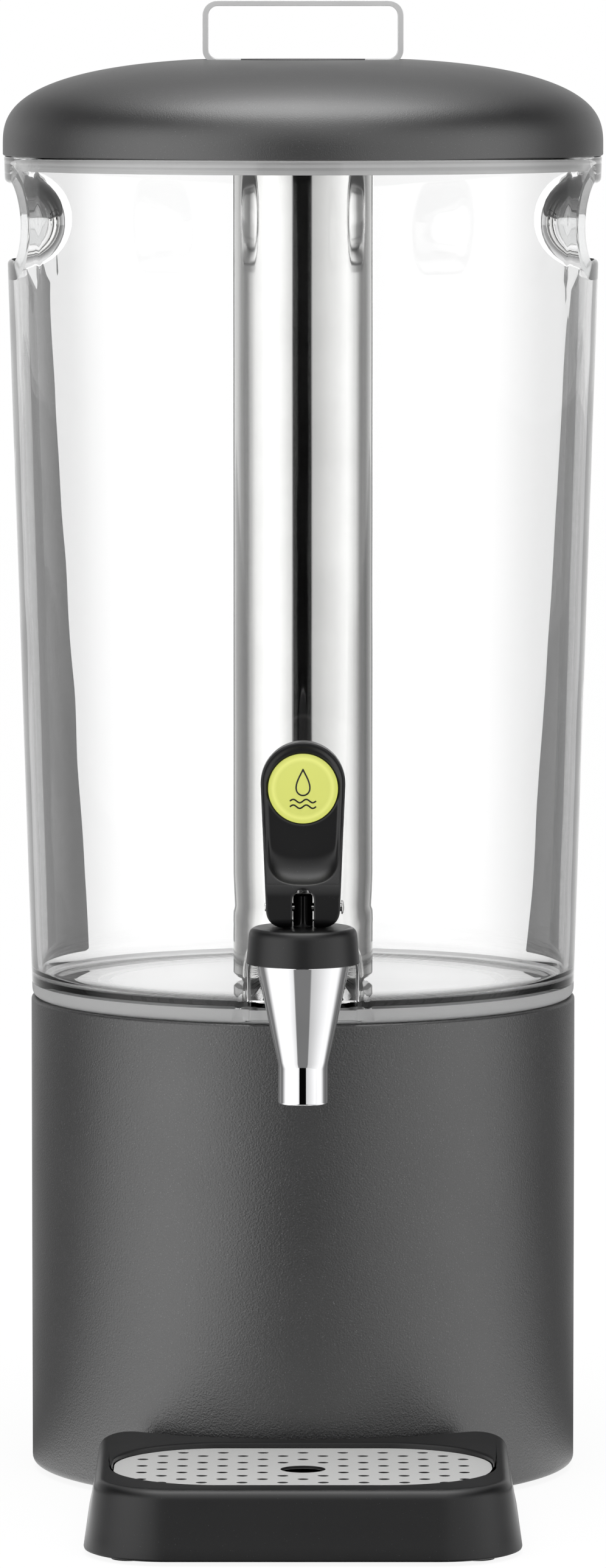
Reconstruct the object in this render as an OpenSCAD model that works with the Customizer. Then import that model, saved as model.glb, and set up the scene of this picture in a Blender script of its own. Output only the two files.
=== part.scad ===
// Counter-top juice dispenser: round base, clear container, lid with an ice tube, lever tap and drip tray.
// All lengths are millimetres. The base's axis is the Z axis, the counter is z = 0 and the tap points to -Y.

/* [Base] */
// Outer diameter of the base
base_d = 201; // [180:1:230]
// Height of the base's top edge above the counter
base_h = 175; // [150:1:220]
// Wall thickness of the base
base_wall = 3.5; // [3:0.5:6]
// Rounding of the base's lower edge
base_edge_r = 2.5; // [1:0.5:2.5]
// Thickness of the deck under the container
deck_t = 4; // [3:0.5:8]
// Thickness of the bottom plate
plate_t = 4; // [3.5:0.5:6]
// Outer diameter of the non-slip foot ring
foot_d = 186; // [170:1:190]
// Width of the foot ring's band
foot_w = 8; // [5:0.5:12]
// How far the foot ring stands out below the base
foot_h = 1.5; // [1:0.5:4]
// Depth of the groove that holds the foot ring
foot_groove = 1; // [0.5:0.1:1.5]
// Diameter of the circle that the base screws lie on
base_screw_pcd = 150; // [130:1:155]
// Thread diameter of the screws in the base and in the handle
screw_d = 4; // [3:0.5:5]
// Length of the base screws below their heads
base_screw_l = 14; // [10:1:16]
// Height of the posts that take the base screws
boss_h = 20; // [16:1:40]
// Thickness of the ribs between the posts and the base's wall
rib_t = 3; // [2:0.5:5]

/* [Container] */
// Height of the container above the base
container_h = 310; // [250:1:360]
// Outer diameter of the container's mouth
container_top_d = 219.6; // [215:0.2:226]
// Outer diameter of the container at the base
container_bottom_d = 200.2; // [190:0.2:204]
// Wall thickness of the container
container_wall = 3.6; // [3:0.2:5]
// Thickness of the container's floor
floor_t = 5.8; // [4:0.2:8]
// Rounding of the container's outer lower edge
container_edge_r = 3; // [1:0.5:4]
// Rounding between the inner wall and the floor
floor_fillet = 6; // [3:0.5:8]
// Outer diameter of the locating ring under the floor
seat_ring_d = 150; // [120:1:160]
// Width of the locating ring
seat_ring_w = 4; // [3:0.5:8]
// Depth of the locating ring
seat_ring_h = 5; // [3:0.5:8]
// Radius of the grip pockets
grip_r = 14.4; // [12:0.2:16]
// Length of the grip pockets
grip_len = 71; // [60:1:80]
// How far the grip's centre lies below the mouth
grip_drop = 24; // [23:0.5:40]
// How far the grip's axis lies inside the outer wall
grip_inset = 5; // [3:0.5:7]

/* [Lid] */
// How far the lid stands out over the container's mouth
lid_overhang = 0.45; // [0:0.05:3]
// Height of the straight band at the lid's lower edge
lid_band = 3.8; // [3.6:0.2:8]
// Rise of the dome above the band, before the flat top is cut
dome_rise = 32; // [28:0.5:45]
// Roundness of the dome: 2 is an ellipse, more is squarer
dome_power = 2.7; // [2.2:0.1:3.5]
// How much of the dome's crown the flat top takes off
crown_cut = 0.8; // [0.4:0.1:1.5]
// Wall thickness of the lid
lid_wall = 2.5; // [2:0.1:4]
// Depth of the dish in the lid's top
dish_depth = 1.8; // [1:0.1:3]
// Thickness of the lid's inner disc
liner_t = 3.5; // [2.5:0.1:5]
// How far the gasket reaches into the container
gasket_h = 5.2; // [3:0.1:7]
// Thickness of the gasket ring
gasket_w = 4; // [2:0.5:6]
// Outer width of the handle
handle_w = 73.6; // [60:0.2:90]
// Height of the handle above the lid's flat top
handle_rise = 21.5; // [18:0.5:35]
// Width of the handle's strip
strip_w = 16; // [12:0.5:22]
// Thickness of the handle's strip
strip_t = 2; // [1.5:0.1:3]
// Outer rounding of the handle's bends
handle_bend = 5.5; // [4:0.5:10]
// Length of the handle's feet
handle_foot = 12; // [10:0.5:20]

/* [Ice tube] */
// Outer diameter of the ice tube
tube_d = 51.5; // [40:0.5:56]
// Wall thickness of the ice tube
tube_wall = 1.2; // [0.8:0.1:2]
// Gap between the ice tube and the container's floor
tube_floor_gap = 1.2; // [0.8:0.1:6]
// Chamfer of the ice tube's lower end
tube_chamfer = 1.5; // [0.5:0.1:3]
// Height of the bayonet socket above the lid's inner disc
socket_h = 15; // [12:0.5:17]
// Width of each bayonet lug
lug_w = 22; // [16:1:26]
// How far the bayonet lugs stand out
lug_reach = 3.4; // [2.5:0.1:4]
// Thickness of the bayonet lugs
lug_t = 4; // [3:0.5:6]
// Wall thickness of the collar on the ice tube
collar_wall = 1.2; // [1:0.1:2]

/* [Tap] */
// Width of the flat pad that carries the tap
pad_w = 38.7; // [34:0.1:44]
// Thickness of the pad
pad_t = 8; // [7:0.5:10]
// How far the pad's face stands in front of the container's wall at the pad's top
pad_rise = 0.22; // [0.1:0.01:1]
// Distance from the pad to the tap's axis
tap_reach = 40.5; // [36:0.5:50]
// Diameter of the tap's threaded shank
shank_d = 16; // [14:0.5:18]
// Bore of the shank
shank_bore = 10; // [8:0.5:11]
// Width across the flats of the shank nut
nut_af = 24; // [22:0.5:26]
// Thickness of the shank nut
nut_t = 6; // [4:0.5:8]
// Thickness of each sealing washer
washer_t = 2; // [1:0.5:3]
// Diameter of the sealing washers
washer_d = 23; // [21:0.5:24]
// Diameter of the flange on the tap's body
flange_d = 26; // [24:0.5:30]
// Thickness of the flange
flange_t = 4; // [3:0.5:6]
// Outer diameter of the cone at its top
cone_top_d = 33.6; // [32:0.1:36]
// Height of the cone
cone_h = 36; // [33:0.5:42]
// Outer diameter of the outlet
outlet_d = 17.6; // [16:0.1:20]
// Length of the outlet
outlet_h = 14; // [10:0.5:20]
// Bore of the outlet
outlet_bore = 12; // [10:0.1:13]
// How far the valve seat lies below the shank's bore
seat_drop = 3.5; // [3:0.1:4.5]
// Diameter of the valve chamber
chamber_d = 22; // [20:0.1:23]
// Diameter of the seat cup
cup_d = 17; // [15:0.1:18]
// Height of the seat cup
cup_h = 9; // [8:0.5:10]
// Outer diameter of the bonnet at its lower edge
bonnet_d = 40.2; // [39:0.1:44]
// Outer diameter of the bonnet near its top
bonnet_top_d = 38; // [36:0.1:39]
// Height of the bonnet
bonnet_h = 13; // [12:0.5:16]
// Rounding of the bonnet's shoulder
bonnet_edge_r = 2.5; // [1:0.5:3]
// Diameter of the body's thread under the bonnet
bonnet_thread_d = 31; // [29:0.1:32]
// Diameter of the valve stem
stem_d = 6.8; // [6:0.1:7.4]

/* [Lever] */
// Largest width of the lever
lever_w = 30; // [28:0.5:36]
// Width of the lever at its lower end
lever_low_w = 25.6; // [24:0.2:28]
// Height of the lever above its pin
lever_h = 59; // [50:1:70]
// Thickness of the lever's paddle
paddle_t = 8; // [6:0.5:10]
// How far the lever's lower block reaches in front of the pin
block_front = 12; // [12:0.5:15]
// How far the lever's lower block reaches behind the pin
block_back = 9; // [8:0.5:12]
// Height of the front ledge above the pin
ledge_h = 9; // [8:0.5:11]
// Radius of the scoop above the ledge
scoop_r = 10; // [8:0.5:14]
// How far the lever's rim stands out round the badge
rim_depth = 0.9; // [0.4:0.1:1.5]
// Width of the lever's rim
rim_w = 1.4; // [1:0.1:2.5]
// Rounding of the lever's lower corners
lever_corner = 6.5; // [4:0.5:8]
// Rounding of the dished face's lower corners
dish_corner = 8; // [4:0.5:9]
// Diameter of the badge
badge_d = 24.7; // [20:0.1:26]
// Thickness of the badge
badge_t = 1.2; // [0.8:0.1:2]
// How deep the badge is let into the lever
badge_sink = 0.8; // [0.4:0.1:1.2]
// How far the badge's centre lies below the centre of the lever's round top
badge_drop = 1.5; // [0.5:0.1:4]
// Height of the pin above the bonnet
pin_rise = 7; // [6.5:0.1:8]
// Diameter of the pin
pin_d = 3; // [2.5:0.1:3.4]
// Diameter of the pin's head
pin_head_d = 5; // [4.2:0.1:6]
// Thickness of the pin's head
pin_head_t = 1; // [0.6:0.1:2]
// How far the pin stands out of the lever on each side
pin_stub = 0.8; // [0.5:0.1:3]
// Largest tilt of the lever, in degrees
lever_tilt = 40; // [30:1:45]
// How far the stem lifts at the largest tilt
stem_lift = 4; // [3:0.1:4.5]

/* [Spring] */
// Mean diameter of the return spring
spring_d = 14; // [12:0.1:16]
// Wire diameter of the return spring
spring_wire = 1; // [0.6:0.1:1.2]
// Number of turns of the return spring
spring_turns = 5; // [3:1:6]

/* [Drip tray] */
// Width of the tray at its foot
tray_w = 154; // [146:1:170]
// How far the tray reaches in front of the base
tray_reach = 121.5; // [118:0.5:150]
// How far the tray's rear corners reach back beside the base
tray_wrap = 26; // [16:1:32]
// Height of the tray's top edge above the counter
tray_h = 26; // [20:0.5:40]
// How much the tray's walls lean in between foot and top
tray_draft = 3.5; // [1:0.5:6]
// Rounding of the tray's front corners at its foot
tray_corner = 30; // [20:1:36]
// Rounding of the tray's top edge
tray_edge_r = 4; // [2:0.5:5]
// Thickness of the tray's floor
tray_floor = 2.5; // [2:0.5:5]
// Thickness of the pads under the tray that shows
tray_pad_h = 1.2; // [0.8:0.1:2]
// Diameter of the pads under the tray
tray_pad_d = 12; // [8:0.5:14]
// Distance from the tray's edge to the centre of a pad
tray_pad_inset = 16; // [14:0.5:20]
// Width of the grid
grid_w = 134; // [120:1:136]
// Depth of the grid
grid_d = 90; // [80:1:92]
// Corner rounding of the grid
grid_corner = 38; // [24:1:39]
// Thickness of the grid
grid_t = 1.2; // [0.8:0.1:2]
// How far the grid's top lies below the tray's top
grid_sink = 2; // [1.2:0.1:3]
// Distance from the tray's front to the grid
grid_front = 16; // [14:0.5:17]
// Width of the ledge that the grid lies on
grid_ledge = 4; // [3:0.5:8]
// Distance between holes along a row of the grid
hole_pitch = 14.27; // [12:0.01:18]
// Diameter of the grid's holes
hole_d = 4; // [3:0.1:5]
// Least distance from a hole to the grid's edge
hole_land = 4; // [3:0.5:8]
// Diameter of the finger hole
finger_d = 16; // [14:0.5:18]

/* [Clearances] */
// Gap between a piece and the loose piece that it stands in
loose_gap = 0.5; // [0.4:0.1:0.8]
// Gap round a screw or a shank in the hole that it passes through
hole_gap = 0.3; // [0.2:0.05:0.5]
// Gap round a piece that is fixed in place
fixed_gap = 0.05; // [0.03:0.01:0.1]
// Radial gap of a pin or rod that runs in its hole
run_gap = 0.07; // [0.03:0.01:0.1]
// Gap between the tray and the base
tray_gap = 1; // [0.6:0.1:3]
// Gap between the lever's heel and the bonnet
heel_gap = 0.3; // [0.3:0.1:0.6]

/* [Hidden] */
$fn = 96;
// Overshoot of cutting shapes
cut = 1;
// Facets of the circles in a hull
hull_fn = 32;

// Colours
charcoal = "#2f3032";
black_plastic = "#18191b";
steel = "#c4c6c8";
chrome = "#d7d9db";
clear_plastic = "#e3ebee60";
silicone = "#dde1e0c0";
rubber = "#101112";
lime = "#dfe876";

// Levels and radii of the base
base_r = base_d / 2;
plate_r = base_r - base_wall - loose_gap;
plate_top = foot_h + plate_t;
seat_r = seat_ring_d / 2 + loose_gap;
seat_floor = base_h - seat_ring_h - 2 * loose_gap;
screw_r = screw_d / 2;
head_r = 0.95 * screw_d;
head_t = 0.55 * screw_d;
head_sink = head_t + hole_gap;
boss_r = screw_r + rib_t;

// Levels and radii of the container
floor_z = base_h + floor_t;
rim_z = base_h + container_h;
taper = (container_top_d - container_bottom_d) / 2 / container_h;
function outer_r(z) = container_bottom_d / 2 + (z - base_h) * taper;
function inner_r(z) = outer_r(z) - container_wall;
grip_z = rim_z - grip_drop;
grip_x = outer_r(grip_z) - grip_inset;
grip_half = grip_len / 2 - grip_r;

// Levels and radii of the lid and of the ice tube
lid_r = container_top_d / 2 + lid_overhang;
dome_z = rim_z + lid_band;
lid_top = dome_z + dome_rise - crown_cut;
dish_floor = lid_top - dish_depth;
dish_r = handle_w / 2 + loose_gap;
// Width of the ledge under the dome that the liner bears on
ledge_w = 1.2;
liner_r = lid_r - lid_wall - fixed_gap;
liner_top = rim_z + liner_t;
gasket_r = inner_r(rim_z - gasket_h) - loose_gap;
gasket_seat = liner_t / 2;
handle_screw_x = handle_w / 2 - strip_t - handle_foot / 2;
tube_r = tube_d / 2;
tube_bottom = floor_z + tube_floor_gap;
collar_r = tube_r + collar_wall;
// How far the collar ends below the socket's top
collar_drop = 3;
collar_h = socket_h - collar_drop;
lug_r = collar_r + lug_reach;
socket_r = lug_r + loose_gap;
socket_wall = 2.5;
// Thickness of the collar's lip over the tube's end
collar_lip = 1;
tube_top = liner_top + collar_h - collar_lip;

// Levels and radii of the tap
shank_r = shank_d / 2;
// Gap between the nut's lower flat and the container's floor
nut_gap = 0.7;
shank_z = floor_z + nut_af / 2 + nut_gap;
pad_face = outer_r(shank_z + pad_w / 2) + pad_rise;
pad_inner = pad_face - pad_t;
tap_y = -pad_face - tap_reach;
// How far the shank stands out of its nut
shank_stub = 2;
shank_end = pad_inner - washer_t - nut_t - shank_stub;
bonnet_z = shank_z + shank_r + loose_gap;
bonnet_top = bonnet_z + bonnet_h;
// Thickness of the bonnet's top
bonnet_lid = 3;
thread_r = bonnet_thread_d / 2;
thread_top = bonnet_top - bonnet_lid - loose_gap;
cone_z = bonnet_z - cone_h;
outlet_z = cone_z - outlet_h;
seat_z = shank_z - shank_bore / 2 - seat_drop;
cup_top = seat_z + cup_h;
stem_foot = seat_z + cup_h / 3;
stem_r = stem_d / 2;
spring_top = bonnet_top - bonnet_lid;
spring_wire_r = spring_wire / 2;
spring_pitch = (spring_top - cup_top - spring_wire) / spring_turns;

// Levels and sizes of the lever, measured from the pin
pin_z = bonnet_top + pin_rise;
pin_r = pin_d / 2;
pin_half = lever_low_w / 2 + pin_stub;
lever_r = lever_w / 2;
lever_foot = pin_rise - heel_gap;
cam_rate = stem_lift / (lever_tilt * PI / 180);
// How far the paddle's middle lies in front of the pin
paddle_lead = 0.5;
paddle_front = paddle_t / 2 + paddle_lead;
paddle_back = paddle_t - paddle_front;
rim_front = paddle_front + rim_depth;
sweep_r = 3 * scoop_r;
sweep_z = ledge_h + sqrt(pow(sweep_r, 2) - pow(rim_front + sweep_r - block_front, 2));
badge_h = lever_h - lever_r - badge_drop;
// Step at the front of the heel
heel_step = 1;
// Gap on each side of the stem in the lever's slot
slot_gap = 0.45;
stem_slot = stem_d + 2 * slot_gap;
stem_chamfer = 0.8;
// How far the stem reaches above its pin, beyond its radius
stem_over = 1.5;
stem_top = pin_z + stem_r + stem_over;
// Gap between the stem's top and the lever's slot
slot_room = 2.5;
slot_top = stem_r + stem_over + slot_room;

// Levels and sizes of the drip tray
tray_front = base_r + tray_reach;
tray_back = base_r - tray_wrap;
tray_cut_r = base_r + tray_gap;
grid_z = tray_h - grid_sink - grid_t;
grid_y = -tray_front + grid_front + grid_d / 2;
basin_z = tray_pad_h + tray_floor;
// How deep the pads are let into the tray
pad_sink = 1;
// Height of the thin layers that the tray's form is drawn through
layer_t = 0.01;
hole_r = hole_d / 2;
finger_r = finger_d / 2;
row_pitch = hole_pitch / 2;
hole_margin = hole_r + hole_land;
// Least distance between a hole and the finger hole
finger_land = 1;

// Shared shapes

// Rectangle about the origin with round corners
module round_rect(w, d, r) {
  square([w - 2 * r, d], center = true);
  square([w, d - 2 * r], center = true);
  for (x = [-1, 1], y = [-1, 1])
    translate([x * (w / 2 - r), y * (d / 2 - r)])
      circle(r);
}

// Half section of a vessel that widens from r0 to r1, its lower edge rounded by e
module vessel_section(r0, r1, z0, z1, e) {
  steps = 8;
  edge = [
    for (i = [0 : steps])
      let (a = 90 * i / steps)
        [r0 - e + e * sin(a), z0 + e - e * cos(a)]
  ];
  polygon(concat([[0, z0]], edge, [[r1, z1], [0, z1]]));
}

// Half section of a ring between two radii and two levels
module ring_section(r0, r1, z0, z1) {
  translate([r0, z0])
    square([r1 - r0, z1 - z0]);
}

// Ring or disc about the Z axis
module ring(r0, r1, z0, z1) {
  rotate_extrude()
    ring_section(r0, r1, z0, z1);
}

// Straight rod along Y at height z, from y0 to y1
module rod_y(r, y0, y1, z) {
  translate([0, y0, z])
    rotate([-90, 0, 0])
      cylinder(h = y1 - y0, r = r);
}

// Four places on the base's screw circle
module at_base_screws() {
  for (a = [45 : 90 : 315])
    rotate(a)
      translate([base_screw_pcd / 2, 0, 0])
        children();
}

// The two places of the handle's screws
module at_handle_screws() {
  for (x = [-1, 1])
    translate([x * handle_screw_x, 0, 0])
      children();
}

// The tap's upright axis
module at_tap() {
  translate([0, tap_y, 0])
    children();
}

// Pan-head screw pointing up, its head's seat at z = 0
module pan_screw(length) {
  cylinder(h = length, r = screw_r);
  translate([0, 0, -head_t])
    cylinder(h = head_t, r = head_r);
}

// Base

// Post for one screw with a rib to the base's wall
module base_boss() {
  translate([0, 0, plate_top])
    cylinder(h = boss_h, r = boss_r);
  translate([0, -rib_t / 2, plate_top])
    cube([base_r - base_wall / 2 - base_screw_pcd / 2, rib_t, boss_h]);
}

module base_shell() {
  color(charcoal)
    difference() {
      union() {
        rotate_extrude()
          difference() {
            vessel_section(base_r, base_r, foot_h, base_h, base_edge_r);
            ring_section(0, base_r - base_wall, foot_h - cut, seat_floor - deck_t);
            ring_section(seat_r + deck_t, base_r - base_wall, foot_h - cut, base_h - deck_t);
            ring_section(0, seat_r, seat_floor, base_h + cut);
          }
        at_base_screws()
          base_boss();
      }
      at_base_screws()
        translate([0, 0, plate_top - cut])
          cylinder(h = boss_h, r = screw_r + fixed_gap);
    }
}

module base_plate() {
  color(black_plastic)
    difference() {
      ring(0, plate_r, foot_h, plate_top);
      ring(foot_d / 2 - foot_w - fixed_gap, foot_d / 2 + fixed_gap, foot_h - cut, foot_h + foot_groove);
      at_base_screws() {
        translate([0, 0, foot_h - cut])
          cylinder(h = plate_t + 2 * cut, r = screw_r + hole_gap);
        translate([0, 0, foot_h - cut])
          cylinder(h = head_sink + cut, r = head_r + hole_gap);
      }
    }
}

module base_screws() {
  color(steel)
    at_base_screws()
      translate([0, 0, foot_h + head_sink])
        pan_screw(base_screw_l);
}

module foot_ring() {
  color(rubber)
    ring(foot_d / 2 - foot_w, foot_d / 2, 0, foot_h + foot_groove);
}

// Container

// Both grip pockets, as round-ended rods of radius r
module grip_pockets(r) {
  for (x = [-1, 1])
    translate([x * grip_x, 0, grip_z])
      rotate([90, 0, 0])
        rotate_extrude()
          intersection() {
            ring_section(0, r, -grip_half - r, grip_half + r);
            union() {
              ring_section(0, r, -grip_half, grip_half);
              for (y = [-1, 1])
                translate([0, y * grip_half])
                  circle(r);
            }
          }
}

module container_outer() {
  rotate_extrude()
    vessel_section(outer_r(base_h + container_edge_r), outer_r(rim_z), base_h, rim_z, container_edge_r);
}

module container_hollow() {
  rotate_extrude()
    vessel_section(inner_r(floor_z + floor_fillet), inner_r(rim_z + cut), floor_z, rim_z + cut, floor_fillet);
}

// Flat pad with a half-round top that the tap is clamped to
module tap_pad() {
  translate([0, -pad_inner, 0])
    rotate([90, 0, 0])
      linear_extrude(pad_t)
        intersection() {
          translate([-pad_w / 2, base_h])
            square([pad_w, shank_z]);
          union() {
            translate([0, shank_z])
              circle(pad_w / 2);
            translate([-pad_w / 2, base_h])
              square([pad_w, shank_z - base_h]);
          }
        }
}

module container() {
  color(clear_plastic)
    difference() {
      union() {
        difference() {
          container_outer();
          container_hollow();
        }
        intersection() {
          container_outer();
          grip_pockets(grip_r + container_wall);
        }
        tap_pad();
        ring(seat_ring_d / 2 - seat_ring_w, seat_ring_d / 2, base_h - seat_ring_h, base_h + floor_t / 2);
      }
      grip_pockets(grip_r);
      rod_y(shank_r + hole_gap, -pad_face - cut, -pad_inner + cut, shank_z);
    }
}

// Lid

// Half section of the dome over a band, as a superellipse
module dome_section(a, b, z0) {
  steps = 24;
  points = [
    for (i = [0 : steps])
      let (t = 90 * i / steps)
        [a * pow(cos(t), 2 / dome_power), dome_z + b * pow(sin(t), 2 / dome_power)]
  ];
  polygon(concat([[0, z0], [a, z0]], points));
}

module lid_shell() {
  color(charcoal)
    difference() {
      rotate_extrude()
        difference() {
          dome_section(lid_r, dome_rise, rim_z);
          intersection() {
            dome_section(lid_r - lid_wall - ledge_w, dome_rise - lid_wall, rim_z);
            ring_section(0, lid_r, rim_z, dish_floor - lid_wall);
          }
          ring_section(0, lid_r - lid_wall, rim_z - cut, liner_top);
          ring_section(0, lid_r, lid_top, lid_top + dome_rise);
          ring_section(0, dish_r, dish_floor, lid_top + cut);
        }
      at_handle_screws()
        translate([0, 0, dish_floor - lid_wall - cut])
          cylinder(h = lid_wall + 2 * cut, r = screw_r + hole_gap);
    }
}

// Ring cut to two opposite lugs along X
module lugs(r0, r1, z0, z1, w) {
  intersection() {
    ring(r0, r1, z0, z1);
    translate([-r1 - cut, -w / 2, z0 - cut])
      cube([2 * (r1 + cut), w, z1 - z0 + 2 * cut]);
  }
}

module lid_liner() {
  color(black_plastic)
    difference() {
      union() {
        ring(0, liner_r, rim_z, liner_top);
        ring(0, socket_r + socket_wall, rim_z, liner_top + socket_h + socket_wall);
      }
      ring(0, collar_r + loose_gap, rim_z - cut, liner_top + cut);
      ring(0, socket_r, liner_top, liner_top + socket_h);
      rotate(90)
        lugs(0, socket_r, rim_z - cut, liner_top + cut, lug_w + 2 * loose_gap);
      ring(gasket_r - gasket_w - fixed_gap, gasket_r + fixed_gap, rim_z - cut, rim_z + gasket_seat);
    }
}

module lid_gasket() {
  color(silicone)
    ring(gasket_r - gasket_w, gasket_r, rim_z - gasket_h, rim_z + gasket_seat);
}

// Section of the bent strip in the XZ plane, its feet turned inwards
module handle_section() {
  top = lid_top + handle_rise;
  mid = (top + dish_floor) / 2;
  difference() {
    translate([0, mid])
      round_rect(handle_w, top - dish_floor, handle_bend);
    translate([0, mid])
      round_rect(handle_w - 2 * strip_t, top - dish_floor - 2 * strip_t, handle_bend - strip_t);
    translate([0, dish_floor + strip_t / 2])
      square([handle_w - 2 * strip_t - 2 * handle_foot, 2 * strip_t], center = true);
  }
}

module lid_handle() {
  color(steel)
    difference() {
      translate([0, strip_w / 2, 0])
        rotate([90, 0, 0])
          linear_extrude(strip_w)
            handle_section();
      at_handle_screws()
        translate([0, 0, dish_floor - cut])
          cylinder(h = strip_t + 2 * cut, r = screw_r + fixed_gap);
    }
}

module handle_screws() {
  color(steel)
    at_handle_screws()
      translate([0, 0, dish_floor - lid_wall])
        pan_screw(lid_wall + strip_t);
}

// Ice tube

module ice_tube() {
  color(steel)
    rotate_extrude()
      polygon([
        [0, tube_bottom],
        [tube_r - tube_chamfer, tube_bottom],
        [tube_r, tube_bottom + tube_chamfer],
        [tube_r, tube_top],
        [tube_r - tube_wall, tube_top],
        [tube_r - tube_wall, tube_bottom + tube_chamfer + tube_wall],
        [0, tube_bottom + tube_chamfer + tube_wall]
      ]);
}

module tube_collar() {
  color(black_plastic)
    difference() {
      union() {
        ring(0, collar_r, liner_top, liner_top + collar_h);
        lugs(0, lug_r, liner_top, liner_top + lug_t, lug_w);
      }
      ring(0, tube_r + fixed_gap, liner_top - cut, tube_top);
      ring(0, tube_r - tube_wall, liner_top - cut, liner_top + collar_h + cut);
    }
}

// Tap

module tap_body() {
  color(chrome)
    difference() {
      union() {
        at_tap()
          rotate_extrude()
            polygon([
              [0, outlet_z],
              [outlet_d / 2, outlet_z],
              [outlet_d / 2, cone_z],
              [cone_top_d / 2, bonnet_z],
              [thread_r, bonnet_z],
              [thread_r, thread_top],
              [0, thread_top]
            ]);
        rod_y(shank_r, tap_y, -shank_end, shank_z);
        rod_y(flange_d / 2, -pad_face - washer_t - flange_t, -pad_face - washer_t, shank_z);
      }
      at_tap() {
        ring(0, outlet_bore / 2, outlet_z - cut, seat_z + cut);
        ring(0, chamber_d / 2, seat_z, thread_top + cut);
      }
      rod_y(shank_bore / 2, tap_y, -shank_end + cut, shank_z);
    }
}

module tap_bonnet() {
  r = bonnet_top_d / 2;
  e = bonnet_edge_r;
  color(black_plastic)
    at_tap()
      rotate_extrude()
        difference() {
          union() {
            polygon([[0, bonnet_z], [bonnet_d / 2, bonnet_z], [r, bonnet_top - e], [0, bonnet_top - e]]);
            ring_section(0, r - e, bonnet_z, bonnet_top);
            translate([r - e, bonnet_top - e])
              circle(e);
          }
          ring_section(0, thread_r + fixed_gap, bonnet_z - cut, spring_top);
          ring_section(0, stem_r + run_gap, bonnet_z, bonnet_top + cut);
        }
}

module shank_washer(y0) {
  color(silicone)
    difference() {
      rod_y(washer_d / 2, y0, y0 + washer_t, shank_z);
      rod_y(shank_r + fixed_gap, y0 - cut, y0 + washer_t + cut, shank_z);
    }
}

module outer_washer() {
  shank_washer(-pad_face - washer_t);
}

module inner_washer() {
  shank_washer(-pad_inner);
}

module shank_nut() {
  y0 = -pad_inner + washer_t;
  color(black_plastic)
    difference() {
      translate([0, y0, shank_z])
        rotate([-90, 0, 0])
          cylinder(h = nut_t, r = nut_af / sqrt(3), $fn = 6);
      rod_y(shank_r + fixed_gap, y0 - cut, y0 + nut_t + cut, shank_z);
    }
}

module pin_hole(r) {
  translate([-lever_w, tap_y, pin_z])
    rotate([0, 90, 0])
      cylinder(h = 2 * lever_w, r = r);
}

module valve_stem() {
  color(black_plastic)
    difference() {
      at_tap()
        rotate_extrude()
          polygon([
            [0, stem_foot],
            [stem_r, stem_foot],
            [stem_r, stem_top - stem_chamfer],
            [stem_r - stem_chamfer, stem_top],
            [0, stem_top]
          ]);
      pin_hole(pin_r + fixed_gap);
    }
}

module seat_cup() {
  color(silicone)
    at_tap()
      difference() {
        ring(0, cup_d / 2, seat_z, cup_top);
        ring(0, stem_r + fixed_gap, stem_foot, cup_top + cut);
      }
}

// Point on the spring's centre line, t running from 0 to 1
function spring_point(t) = [
  spring_d / 2 * cos(360 * spring_turns * t),
  tap_y + spring_d / 2 * sin(360 * spring_turns * t),
  cup_top + spring_wire_r + t * spring_turns * spring_pitch
];

// Round wire swept along the spring's centre line
module return_spring() {
  sides = 6;
  rings = 12 * spring_turns;
  slope = atan(spring_pitch / (PI * spring_d));
  points = [
    for (i = [0 : rings])
      let (turn = 360 * spring_turns * i / rings)
        for (j = [0 : sides - 1])
          let (a = 360 * j / sides)
            spring_point(i / rings) + spring_wire_r * (
              cos(a) * [cos(turn), sin(turn), 0]
              + sin(a) * [sin(turn) * sin(slope), -cos(turn) * sin(slope), cos(slope)]
            )
  ];
  walls = [
    for (i = [0 : rings - 1], j = [0 : sides - 1])
      let (k = (j + 1) % sides, a = i * sides, b = a + sides)
        for (face = [[a + j, a + k, b + k], [a + j, b + k, b + j]])
          face
  ];
  ends = [
    for (j = [1 : sides - 2])
      for (face = [[0, j + 1, j], [rings * sides, rings * sides + j, rings * sides + j + 1]])
        face
  ];
  echo(spring_least_gap = spring_pitch * cos(slope) - spring_wire);
  color(steel)
    polyhedron(points, concat(walls, ends));
}

module pivot_pin() {
  color(steel)
    translate([-pin_half, tap_y, pin_z])
      rotate([0, 90, 0]) {
        cylinder(h = 2 * pin_half, r = pin_r);
        translate([0, 0, 2 * pin_half])
          cylinder(h = pin_head_t, r = pin_head_d / 2);
      }
}

// Half width of the lever at height z above its pin, below its round top
function lever_half(z) =
  let (share = (z + lever_foot) / (lever_h - lever_r + lever_foot))
    (lever_low_w + (lever_w - lever_low_w) * share) / 2;

// Front outline of the lever, drawn in by inset, from its round top down to foot with corners rounded by e
module lever_front(inset, foot, e) {
  top = lever_h - lever_r;
  high = lever_r - inset;
  low = lever_half(foot + e) - inset;
  translate([0, top])
    circle(high);
  polygon([[-high, top], [-low, foot + e], [low, foot + e], [high, top]]);
  translate([-low + e, foot])
    square([2 * (low - e), 2 * e]);
  for (x = [-1, 1])
    translate([x * (low - e), foot + e])
      circle(e);
}

// Point of the heel that faces the bonnet when the lever is tilted by a degrees
function heel_point(a) =
  let (reach = lever_foot + cam_rate * a * PI / 180)
    [-reach * sin(a) - cam_rate * cos(a), -reach * cos(a) + cam_rate * sin(a)];

// Everything in front of a face that runs up at depth and sweeps forward into a ledge with radius r
module scoop(depth, r, z) {
  translate([-depth - r, z])
    circle(r);
  translate([-depth - 2 * r, z])
    square([2 * r, lever_h]);
}

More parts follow.
